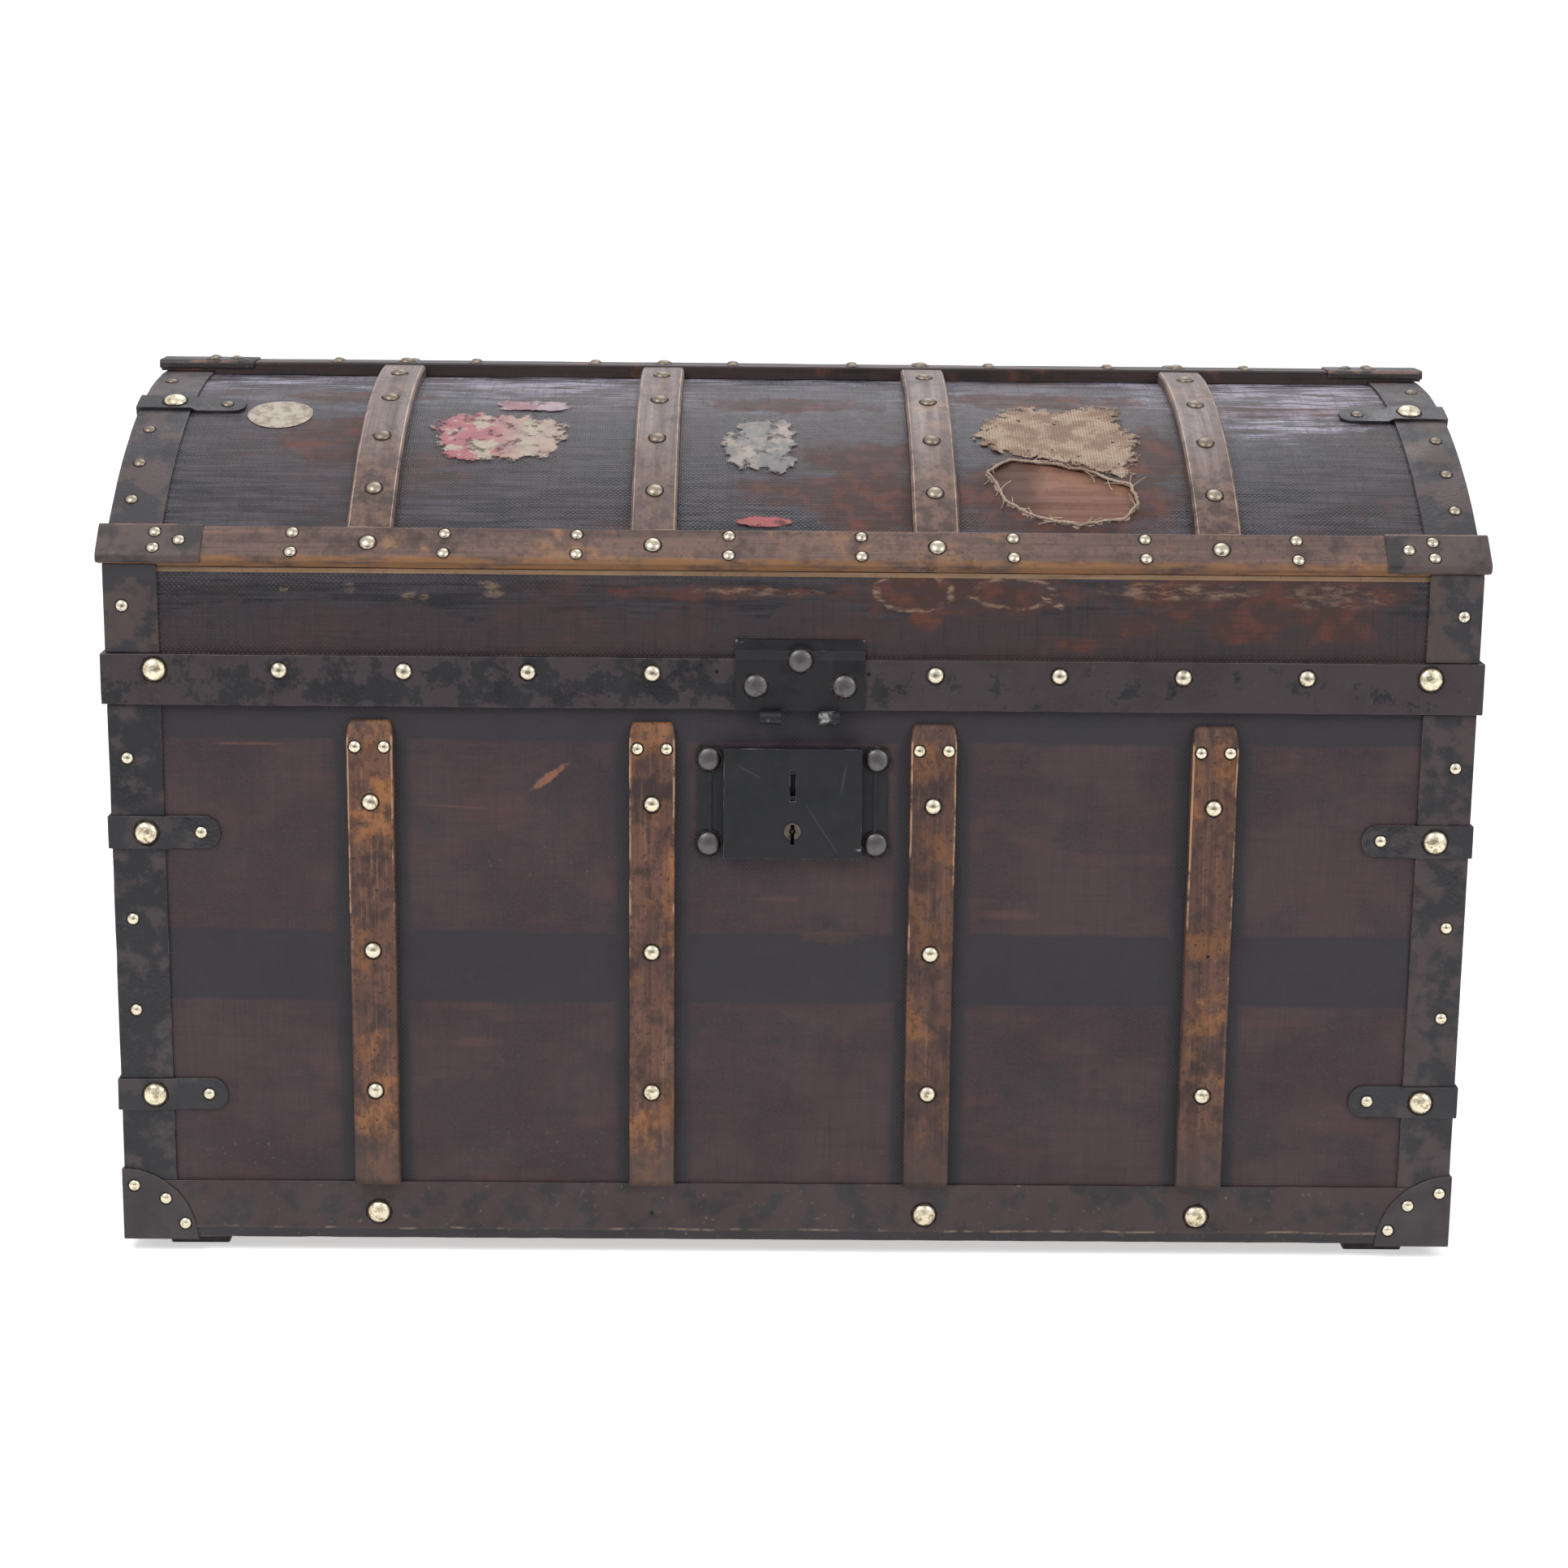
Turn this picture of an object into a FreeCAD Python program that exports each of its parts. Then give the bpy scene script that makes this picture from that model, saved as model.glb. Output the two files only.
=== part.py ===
import FreeCAD, Part
import math
import os

from FreeCAD import Placement, Rotation, Vector

# Dome top trunk: a canvas covered board box on runners, with a coopered barrel lid hinged at the back.
# X runs along the trunk, the front faces -Y, Z is up, and the origin is on the floor under the middle.

# Case, measured over its bare boards
case_length = 884.0
case_depth = 498.0
board = 12.0
body_height = 362.5
lid_gap = 0.4
lid_wall = 89.5
dome_rise = 102.0
stave = 10.0
stave_count = 9

# Runners under the bottom
runner_height = 12.0
runner_width = 40.0
runner_inset = 44.0
runner_clear = 1.0

# Canvas, lining and leather bindings
canvas = 1.0
lining = 1.0
leather = 2.0
binding_leg = 35.0
bottom_leg = 38.0
under_leg = 10.0

# Corner caps at the floor
cap_sheet = 1.5
cap_radius = 50.0

# Leather straps folded over the edges
strap_width = 22.0
strap_reach = 71.0
strap_joggle = 4.0
strap_round_share = 0.48
strap_height_shares = (0.272, 0.766)
dome_strap_deg = 16.5

# Upright slats of the body
slat_end_gap = 167.0
slat_lock_gap = 15.2
slat_width = 30.0
slat_thick = 8.0
slat_tip = 3.0
slat_taper = 14.0
slat_top_gap = 9.0
slat_ease = 1.5

# Battens along the dome, and the leather caps on their ends
batten_width = 27.0
batten_thick = 9.0
batten_overhang = 2.5
batten_clear = 0.3
batten_ease = 1.5
batten_nose = 4.0
tip_sheet = 1.2
tip_length = 66.0
tip_lift = 4.0

# Band round the lid's lower edge
band_height = 33.5
band_thick = 5.0

# Hinges at the back, between the outer and the inner slats
hinge_width = 42.0
hinge_sheet = 2.0
hinge_leaf = 36.0
hinge_shank = 6.0
hinge_joggle = 6.0
knuckle_radius = 4.5
knuckle_gap = 0.3
knuckle_stand = 0.5
pin_radius = 2.0
pin_clear = 0.05
pin_head_radius = 3.2
pin_head = 1.5

# Hasp plate on the lid, with its empty knuckles
hasp_width = 84.0
hasp_shift = 4.0
hasp_rise = 12.0
hasp_step = 5.0
hasp_drop = 4.0
hasp_tongue = 52.0
hasp_knuckle = 14.0
hasp_stud_spread = 57.4
hasp_stud_low_share = 0.48
hasp_stud_high_share = 0.98

# Lock on the body
lock_width = 123.0
lock_height = 73.4
lock_top_gap = 24.4
lock_sheet = 2.0
lock_box_width = 90.0
lock_box_rise = 8.0
lock_wall = 1.5
lock_rib = 2.0
lock_rib_rise = 1.2
lock_rib_spread = 108.0
lock_stud_spread = 109.4
lock_stud_height = 56.5
slot_width = 3.8
slot_height = 20.6
slot_rise_share = 0.167
key_drop_share = 0.247
key_radius = 2.2
key_pin_radius = 1.0
key_slot_width = 2.4
key_slot_rise = 4.6
key_slot_drop = 9.0
key_plate_radius = 5.5
key_plate = 0.8
bolt_height = 14.0
bolt_length = 36.0
bolt_clear = 0.3
bolt_travel = 10.0
guide = 3.0
bolt_rest = 4.0

# Drop handles on the ends
handle_z = 262.0
handle_plate_width = 134.0
handle_plate_height = 44.0
handle_plate = 3.0
handle_corner = 8.0
ear_spread = 114.0
ear_thick = 8.0
ear_radius = 8.0
ear_stand = 11.0
bail_radius = 4.0
bail_clear = 0.05
bail_bar = 7.0
bail_drop = 52.0
bail_bend = 8.0
bail_corner = 16.0
bail_side_clear = 0.3
grip_radius = 6.0
grip_middle_share = 0.4
rivet_spread_y = 60.0
rivet_spread_z = 28.0

# Nails: heads, pointed shanks and how many flats each has
small_head = 4.0
small_rise = 2.0
medium_head = 5.5
medium_rise = 3.0
large_head = 8.0
large_rise = 4.5
shank_radius = 1.2
medium_shank = 14.0
large_shank = 9.0
few_sides = 6
many_sides = 8
waist_share = 0.74
waist_rise_share = 0.7

# Places of the nails, as shares of what they are driven into
slat_nail_shares = (0.286, 0.552, 0.828)
slat_pair_drop = 25.5
slat_pair_spread = 19.0
edge_nail_inset = 12.0
edge_nail_shares = (0.432, 0.604, 0.902)
strap_large_inset = 23.0
strap_small_inset = 58.5
cap_nail_shares = ((0.164, 0.76), (0.58, 0.58), (0.83, 0.23))
bottom_nail_share = 0.44
rim_nail_share = 0.7
rim_nail_inset = 35.0
rim_nail_count = 5
rim_end_pitch = 105.0
lid_corner_nail_share = 0.55
batten_pair_offset = 49.0
batten_pair_spread = 16.0
tip_nail_inset = 35.5
tip_nail_step = 16.0
tip_nail_spread = 13.0
dome_nail_deg = (7.6, 16.5, 25.5, 34.6)
dome_edge_deg = (8.5, 23.0, 29.6, 35.6)
leaf_nail_share = 0.3

# Overrun of every cut, and the tolerance used to pick edges
overrun = 5.0
touch = 0.01

# Worked out from the sizes above
half_length = case_length / 2
half_depth = case_depth / 2
inner_x = half_length - board
inner_y = half_depth - board
body_z = runner_height
rim_z = body_z + body_height
lid_z = rim_z + lid_gap
shoulder_z = lid_z + lid_wall
band_z = lid_z + band_height
bottom_band_z = body_z + bottom_leg
dome_radius = (half_depth ** 2 + dome_rise ** 2) / (2 * dome_rise)
dome_z = shoulder_z + dome_rise - dome_radius
dome_angle = math.asin(half_depth / dome_radius)
stave_radius = dome_radius - stave
canvas_x = half_length + canvas
canvas_y = half_depth + canvas
canvas_radius = dome_radius + canvas
leather_x = canvas_x + leather
leather_y = canvas_y + leather
leather_radius = canvas_radius + leather
band_x = canvas_x + band_thick
band_y = canvas_y + band_thick
slat_y = canvas_y + slat_thick
slat_radius = canvas_radius + slat_thick
batten_radius = canvas_radius + batten_thick
batten_half = leather_x + batten_overhang
edge_angle = math.asin(canvas_y / canvas_radius)
batten_half_angle = batten_width / 2 / canvas_radius
batten_angle = edge_angle - batten_half_angle
hinge_y = band_y + knuckle_radius + knuckle_stand
hinge_z = rim_z + lid_gap / 2
lock_z = rim_z - lock_top_gap - lock_height / 2
lock_y = canvas_y + lock_sheet
lock_front = lock_y + lock_box_rise
slot_z = lock_z + lock_height * slot_rise_share
key_z = lock_z - lock_height * key_drop_share
slat_inner = lock_width / 2 + slat_lock_gap + slat_width / 2
slat_outer = case_length / 2 - slat_end_gap
slat_places = [-slat_outer, -slat_inner, slat_inner, slat_outer]
strap_places = [body_z + body_height * share for share in strap_height_shares]

ALONG = Vector(1, 0, 0)
BACK = Vector(0, 1, 0)
FRONT = Vector(0, -1, 0)
UP = Vector(0, 0, 1)
AXLE = Vector(0, 0, dome_z)
SQUARE = ((-1, -1), (1, -1), (1, 1), (-1, 1))


def block(low, high):
    """A box between its lowest and its highest corner."""
    size = Vector(*high) - Vector(*low)
    return Part.makeBox(size.x, size.y, size.z, Vector(*low))


def outline(corners):
    """A flat face inside a closed row of corners."""
    return Part.Face(Part.makePolygon(corners + corners[:1]))


def prism_x(points, low, high):
    """A (y, z) outline drawn out along X."""
    corners = [Vector(low, y, z) for y, z in points]
    return outline(corners).extrude(ALONG * (high - low))


def prism_y(points, low, high):
    """An (x, z) outline drawn out along Y."""
    corners = [Vector(x, low, z) for x, z in points]
    return outline(corners).extrude(BACK * (high - low))


def prism_z(points, low, high):
    """An (x, y) outline drawn out along Z."""
    corners = [Vector(x, y, low) for x, y in points]
    return outline(corners).extrude(UP * (high - low))


def rounded_top(bar, front_size, back_size):
    """A bar along X with the long edges of its top rounded, each by its own size."""
    for side, size in ((-1, front_size), (1, back_size)):
        level = bar.BoundBox.ZMax - touch
        boxes = [(edge, edge.BoundBox) for edge in bar.Edges]
        long_top = [(edge, box) for edge, box in boxes if box.ZMin > level and box.XLength > box.YLength]
        bar = bar.makeFillet(size, [edge for edge, box in long_top if side * box.Center.y > 0])
    return bar


def across(shape):
    """The same piece at the other end of the trunk."""
    return shape.mirror(Vector(), ALONG)


def behind(shape):
    """The same piece at the back of the trunk."""
    return shape.mirror(Vector(), BACK)


def four_corners(shape):
    """A front left piece and its three mirrored fellows."""
    pair = [shape, across(shape)]
    return pair + [behind(each) for each in pair]


def on_dome(shape, angle):
    """A piece made at the crest, swung about the dome's axis towards the front."""
    turned = shape.copy()
    turned.rotate(AXLE, ALONG, math.degrees(angle))
    return turned


def dome_point(x, radius, angle):
    """A place on the dome: positive angles lie to the front of the crest."""
    return Vector(x, -radius * math.sin(angle), dome_z + radius * math.cos(angle))


def dome_out(angle):
    """The direction straight out of the dome at an angle from the crest."""
    return Vector(0, -math.sin(angle), math.cos(angle))


def save(name, shapes):
    """Write one node, as one solid or as a group of separate ones."""
    shape = shapes[0] if len(shapes) == 1 else Part.makeCompound(shapes)
    shape.exportStep("parts/" + name + ".step")


def build_body_boards():
    """Front and back boards run the full length, and the ends and bottom fit between them."""
    front = block((-half_length, -half_depth, body_z), (half_length, -inner_y, rim_z))
    end = block((-half_length, -inner_y, body_z), (-inner_x, inner_y, rim_z))
    bottom = block((-inner_x, -inner_y, body_z), (inner_x, inner_y, body_z + board))
    save("body_front_board", [front])
    save("body_back_board", [behind(front)])
    save("body_left_end", [end])
    save("body_right_end", [across(end)])
    save("body_bottom_board", [bottom])


def build_body_skins():
    """Canvas round the outside of the boards, and a lining inside them."""
    outside = block((-canvas_x, -canvas_y, body_z), (canvas_x, canvas_y, rim_z))
    low = (-half_length, -half_depth, body_z - overrun)
    boards = block(low, (half_length, half_depth, rim_z + overrun))
    save("body_canvas", [outside.cut(boards)])
    floor_z = body_z + board
    room = block((-inner_x, -inner_y, floor_z), (inner_x, inner_y, rim_z))
    low = (-inner_x + lining, -inner_y + lining, floor_z + lining)
    high = (inner_x - lining, inner_y - lining, rim_z + overrun)
    save("body_lining", [room.cut(block(low, high))])


def build_runners():
    """Two hardwood runners under the bottom, from front to back."""
    middle = half_length - runner_inset
    reach = half_depth - under_leg - runner_clear
    low = (-middle - runner_width / 2, -reach, 0)
    runner = block(low, (-middle + runner_width / 2, reach, runner_height))
    save("bottom_runners", [runner, across(runner)])


def corner_angle(low, high):
    """An upright leather angle over the front left edge of the case."""
    points = [
        (-leather_x, -leather_y),
        (-leather_x + binding_leg, -leather_y),
        (-leather_x + binding_leg, -canvas_y),
        (-canvas_x, -canvas_y),
        (-canvas_x, -leather_y + binding_leg),
        (-leather_x, -leather_y + binding_leg),
    ]
    return prism_z(points, low, high)


def build_body_bindings():
    """Leather angles on the four upright edges, and on the four edges at the floor."""
    names = ("front_left", "front_right", "back_left", "back_right")
    for name, angle in zip(names, four_corners(corner_angle(bottom_band_z, rim_z))):
        save(name + "_edge_binding", [angle])
    turn_z = body_z - leather
    fold_y = half_depth - under_leg
    fold_x = half_length - under_leg
    front = [
        (-leather_y, turn_z),
        (-leather_y, bottom_band_z),
        (-canvas_y, bottom_band_z),
        (-canvas_y, body_z),
        (-fold_y, body_z),
        (-fold_y, turn_z),
    ]
    end = [
        (-leather_x, turn_z),
        (-leather_x, bottom_band_z),
        (-canvas_x, bottom_band_z),
        (-canvas_x, body_z),
        (-fold_x, body_z),
        (-fold_x, turn_z),
    ]
    long_piece = prism_x(front, -leather_x, leather_x)
    short_piece = prism_y(end, -fold_y, fold_y)
    save("bottom_edge_bindings", [long_piece, behind(long_piece), short_piece, across(short_piece)])


def build_corner_caps():
    """Quarter round caps over the bindings where three faces meet at the floor."""
    turn_z = body_z - leather
    tip = Vector(-leather_x - cap_sheet, -leather_y - cap_sheet, turn_z - cap_sheet)
    reach = Vector(cap_radius, cap_radius, cap_radius)
    shell = block(tip, tip + reach).cut(block((-leather_x, -leather_y, turn_z), tip + reach * 2))
    open_low = (-half_length + under_leg, -half_depth + under_leg, tip.z - overrun)
    shell = shell.cut(block(open_low, tip + reach * 2))
    save("bottom_corner_caps", four_corners(shell.common(Part.makeSphere(cap_radius, tip))))


def strap_points(skin_u, skin_v):
    """Section of a strap folded over a bound edge, from one end to the other.

    skin_u and skin_v are how far the canvas stands out along the two faces that meet at the edge.
    """
    edge_u = skin_u + leather
    edge_v = skin_v + leather
    outer = [
        (-edge_u + strap_reach, skin_v + leather),
        (-edge_u + binding_leg + strap_joggle, skin_v + leather),
        (-edge_u + binding_leg, edge_v + leather),
        (-edge_u - leather, edge_v + leather),
        (-edge_u - leather, edge_v - binding_leg),
        (-skin_u - leather, edge_v - binding_leg - strap_joggle),
        (-skin_u - leather, edge_v - strap_reach),
    ]
    inner = [
        (-skin_u, edge_v - strap_reach),
        (-skin_u, edge_v - binding_leg - strap_joggle),
        (-edge_u, edge_v - binding_leg),
        (-edge_u, edge_v),
        (-edge_u + binding_leg, edge_v),
        (-edge_u + binding_leg + strap_joggle, skin_v),
        (-edge_u + strap_reach, skin_v),
    ]
    return outer + inner


def round_ends(strap, width):
    """Round off both ends of a strap, where its short edges cross the leather."""
    ends = [edge for edge in strap.Edges if abs(edge.Length - leather) < touch]
    return strap.makeFillet(width * strap_round_share, ends)


def build_straps():
    """Straps over the upright edges of the body and over the ends of the dome."""
    straps = []
    points = [(u, -v) for u, v in strap_points(canvas_x, canvas_y)]
    for place in strap_places:
        strap = prism_z(points, place - strap_width / 2, place + strap_width / 2)
        straps += four_corners(round_ends(strap, strap_width))
    save("body_straps", straps)
    sweep = math.degrees(strap_width / canvas_radius)
    corners = [Vector(u, 0, dome_z + v) for u, v in strap_points(canvas_x, canvas_radius)]
    narrow = strap_width * (leather_radius - strap_reach) / canvas_radius
    strap = round_ends(outline(corners).revolve(AXLE, ALONG, sweep), narrow)
    strap = on_dome(strap, math.radians(dome_strap_deg - sweep / 2))
    save("dome_straps", four_corners(strap))


def build_body_slats():
    """Upright slats on the front and back, thinned towards the rim."""
    top = rim_z - slat_top_gap
    points = [
        (-canvas_y, bottom_band_z),
        (-slat_y, bottom_band_z),
        (-slat_y, top - slat_taper),
        (-canvas_y - slat_tip, top),
        (-canvas_y, top),
    ]
    back = []
    for number, place in enumerate(slat_places, 1):
        slat = prism_x(points, place - slat_width / 2, place + slat_width / 2)
        boxes = [(edge, edge.BoundBox) for edge in slat.Edges]
        outer = [edge for edge, box in boxes if box.YMax < -canvas_y - touch and box.XLength < box.ZLength]
        slat = slat.makeFillet(slat_ease, outer)
        save("front_slat_" + str(number), [slat])
        back.append(behind(slat))
    save("back_slats", back)


def stave_angles():
    """Angles of the joints between the staves, from the front edge to the back one."""
    return [dome_angle * (1 - 2 * i / stave_count) for i in range(stave_count + 1)]


def inside_points(margin):
    """The lid's inside in (y, z): straight walls under the flat inner faces of the staves."""
    edge = inner_y - margin
    radius = stave_radius - margin / math.cos(dome_angle / stave_count)
    joints = [dome_point(0, radius, angle) for angle in stave_angles()]
    first = joints[0]
    second = joints[1]
    share = (-edge - first.y) / (second.y - first.y)
    edge_z = first.z + (second.z - first.z) * share
    arch = [(joint.y, joint.z) for joint in joints[1:-1]]
    return [(-edge, lid_z), (-edge, edge_z)] + arch + [(edge, edge_z), (edge, lid_z)]


def barrel(depth, radius, reach):
    """A solid barrel lid: straight front and back under a round top."""
    edge_z = dome_z + math.sqrt(radius ** 2 - depth ** 2)
    front_low = Vector(-reach, -depth, lid_z)
    front_top = Vector(-reach, -depth, edge_z)
    crest = Vector(-reach, 0, dome_z + radius)
    back_top = Vector(-reach, depth, edge_z)
    back_low = Vector(-reach, depth, lid_z)
    edges = [
        Part.LineSegment(front_low, front_top).toShape(),
        Part.Arc(front_top, crest, back_top).toShape(),
        Part.LineSegment(back_top, back_low).toShape(),
        Part.LineSegment(back_low, front_low).toShape(),
    ]
    return Part.Face(Part.Wire(edges)).extrude(ALONG * (2 * reach))


def build_lid_boards():
    """Front and back boards bevelled to the dome, with arched ends between them."""
    bevel_z = dome_z + (shoulder_z - dome_z) * inner_y / half_depth
    points = [(-half_depth, lid_z), (-half_depth, shoulder_z), (-inner_y, bevel_z), (-inner_y, lid_z)]
    front = prism_x(points, -half_length, half_length)
    end = prism_x(inside_points(0), -half_length, -inner_x)
    save("lid_front_board", [front])
    save("lid_back_board", [behind(front)])
    save("lid_left_end", [end])
    save("lid_right_end", [across(end)])


def build_staves():
    """Staves along the dome: round outside, flat inside, jointed on lines from the axis."""
    staves = []
    angles = stave_angles()
    for start, stop in zip(angles, angles[1:]):
        a = dome_point(-half_length, dome_radius, start)
        crown = dome_point(-half_length, dome_radius, (start + stop) / 2)
        b = dome_point(-half_length, dome_radius, stop)
        c = dome_point(-half_length, stave_radius, stop)
        d = dome_point(-half_length, stave_radius, start)
        edges = [
            Part.Arc(a, crown, b).toShape(),
            Part.LineSegment(b, c).toShape(),
            Part.LineSegment(c, d).toShape(),
            Part.LineSegment(d, a).toShape(),
        ]
        staves.append(Part.Face(Part.Wire(edges)).extrude(ALONG * case_length))
    save("dome_staves", staves)


def build_lid_skins():
    """Canvas over the outside of the lid, and a lining inside it."""
    outside = barrel(canvas_y, canvas_radius, canvas_x)
    save("lid_canvas", [outside.cut(barrel(half_depth, dome_radius, half_length))])
    room = prism_x(inside_points(0), -inner_x, inner_x)
    save("lid_lining", [room.cut(prism_x(inside_points(lining), -inner_x + lining, inner_x - lining))])


def build_rim_band():
    """The band of four strips round the lid's lower edge."""
    front = block((-band_x, -band_y, lid_z), (band_x, -canvas_y, band_z))
    end = block((-band_x, -canvas_y, lid_z), (-canvas_x, canvas_y, band_z))
    save("lid_rim_band", [front, behind(front), end, across(end)])


def build_lid_bindings():
    """Leather on the lid's upright corners, and bent round the edges of the dome."""
    above = block((-case_length, 0, dome_z), (case_length, case_length, dome_z + case_length))
    corner = corner_angle(band_z, shoulder_z + leather_y).cut(on_dome(above, edge_angle))
    save("lid_corner_bindings", four_corners(corner))
    points = [
        (-leather_x, leather_radius),
        (-leather_x + binding_leg, leather_radius),
        (-leather_x + binding_leg, canvas_radius),
        (-canvas_x, canvas_radius),
        (-canvas_x, leather_radius - binding_leg),
        (-leather_x, leather_radius - binding_leg),
    ]
    section = outline([Vector(x, 0, dome_z + radius) for x, radius in points])
    bent = section.revolve(AXLE, ALONG, math.degrees(2 * edge_angle))
    bent = on_dome(bent, -edge_angle)
    save("dome_left_binding", [bent])
    save("dome_right_binding", [across(bent)])


def batten_blank(nose):
    """A straight batten at the crest, rebated over the bindings at its ends, with a rounded front edge."""
    low = dome_z + canvas_radius
    rebate = low + leather + batten_clear
    top = low + batten_thick
    step = leather_x - binding_leg - batten_clear
    points = [
        (-batten_half, rebate),
        (-step, rebate),
        (-step, low),
        (step, low),
        (step, rebate),
        (batten_half, rebate),
        (batten_half, top),
        (-batten_half, top),
    ]
    return rounded_top(prism_y(points, -batten_width / 2, batten_width / 2), nose, batten_ease)


def tip_blank(nose):
    """A leather cap over the left end of a batten at the crest."""
    low = dome_z + canvas_radius + tip_lift
    top = dome_z + batten_radius
    half = batten_width / 2
    inner_end = -batten_half + tip_length
    corner = (-batten_half - tip_sheet, -half - tip_sheet, low)
    shell = block(corner, (inner_end, half + tip_sheet, top + tip_sheet))
    shell = rounded_top(shell, nose + tip_sheet, batten_ease + tip_sheet)
    inside = block((-batten_half, -half, low - overrun), (inner_end + overrun, half, top))
    return shell.cut(rounded_top(inside, nose, batten_ease))


def build_battens():
    """Battens along the front edge, the crest and the back edge of the dome, with capped ends."""
    front = on_dome(batten_blank(batten_nose), batten_angle)
    save("front_batten", [front])
    save("crest_batten", [batten_blank(batten_ease)])
    save("back_batten", [behind(front)])
    crest_tip = tip_blank(batten_ease)
    tips = four_corners(on_dome(tip_blank(batten_nose), batten_angle))
    save("batten_end_caps", tips + [crest_tip, across(crest_tip)])


def build_dome_slats():
    """Bent slats on the dome, butted between the battens."""
    start = batten_half_angle + touch / canvas_radius
    sweep = math.degrees(batten_angle - batten_half_angle - start)
    front = []
    for place in slat_places:
        half = slat_width / 2
        points = [
            (-half, canvas_radius),
            (half, canvas_radius),
            (half, slat_radius - slat_ease),
            (half - slat_ease, slat_radius),
            (slat_ease - half, slat_radius),
            (-half, slat_radius - slat_ease),
        ]
        corners = [Vector(place + u, 0, dome_z + v) for u, v in points]
        front.append(on_dome(outline(corners).revolve(AXLE, ALONG, sweep), start))
    save("dome_front_slats", front)
    save("dome_back_slats", [behind(slat) for slat in front])


def barrel_along(low, length, y, z, radius):
    """A round bar along X from its left end."""
    return Part.makeCylinder(radius, length, Vector(low, y, z), ALONG)


def bore_along(low, length, y, z, radius):
    """The cut for a hole along X, past both ends of what it goes through."""
    return barrel_along(low - overrun, length + 2 * overrun, y, z, radius)


def hinge_pieces(place):
    """The body leaf, the lid leaf and the pin of one hinge."""
    left = place - hinge_width / 2
    right = place + hinge_width / 2
    third = hinge_width / 3
    near = hinge_y - knuckle_radius
    far = near + hinge_sheet
    bore = bore_along(left, hinge_width, hinge_y, hinge_z, pin_radius + pin_clear)
    low_z = hinge_z - hinge_shank
    foot_z = low_z - hinge_joggle
    plate = [
        (near, low_z),
        (far, low_z),
        (canvas_y + hinge_sheet, foot_z),
        (canvas_y + hinge_sheet, foot_z - hinge_leaf),
        (canvas_y, foot_z - hinge_leaf),
        (canvas_y, foot_z),
    ]
    body_leaf = prism_x(plate, left, right)
    for start in (left, right - third + knuckle_gap):
        length = third - knuckle_gap
        tab = block((start, near, low_z), (start + length, far, hinge_z))
        knuckle = barrel_along(start, length, hinge_y, hinge_z, knuckle_radius)
        body_leaf = body_leaf.fuse(tab).fuse(knuckle)
    top_z = hinge_z + hinge_shank
    start = left + third
    lid_leaf = block((left, band_y, top_z), (right, band_y + hinge_sheet, band_z))
    tab = block((start, near, hinge_z), (start + third, band_y + hinge_sheet, top_z))
    lid_leaf = lid_leaf.fuse(tab).fuse(barrel_along(start, third, hinge_y, hinge_z, knuckle_radius))
    pin = barrel_along(left, hinge_width, hinge_y, hinge_z, pin_radius)
    for end in (left - pin_head, right):
        pin = pin.fuse(barrel_along(end, pin_head, hinge_y, hinge_z, pin_head_radius))
    return body_leaf.cut(bore).removeSplitter(), lid_leaf.cut(bore).removeSplitter(), pin


def hinge_places():
    """Where the hinges stand along the back: midway between the outer and the inner slats."""
    reach = (slat_places[0] + slat_places[1]) / 2
    return [reach, -reach]


def build_hinges():
    """Hinges at the back, with cranked leaves that clear the lid's band."""
    body_leaves, lid_leaves, pins = zip(*[hinge_pieces(place) for place in hinge_places()])
    save("hinge_body_leaves", list(body_leaves))
    save("hinge_lid_leaves", list(lid_leaves))
    save("hinge_pins", list(pins))


def build_hasp():
    """Hasp plate on the lid: cranked over the band, with two knuckles that have lost their flap."""
    left = hasp_shift - hasp_width / 2
    right = hasp_shift + hasp_width / 2
    face = band_y + lock_sheet
    top = band_z + hasp_rise
    points = [
        (-face, lid_z),
        (-face, band_z),
        (-canvas_y - lock_sheet, band_z + hasp_step),
        (-canvas_y - lock_sheet, top),
        (-canvas_y, top),
        (-canvas_y, band_z + hasp_step),
        (-band_y, band_z),
        (-band_y, lid_z),
    ]
    plate = prism_x(points, left, right)
    axis_z = lid_z - hasp_drop
    for start in (hasp_shift - hasp_tongue / 2, hasp_shift + hasp_tongue / 2 - hasp_knuckle):
        tab = block((start, -face, axis_z), (start + hasp_knuckle, -band_y - knuckle_stand, lid_z))
        knuckle = barrel_along(start, hasp_knuckle, -hinge_y, axis_z, knuckle_radius)
        bore = bore_along(start, hasp_knuckle, -hinge_y, axis_z, pin_radius)
        plate = plate.fuse(tab).fuse(knuckle).cut(bore)
    save("hasp_plate", [plate.removeSplitter()])


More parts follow.
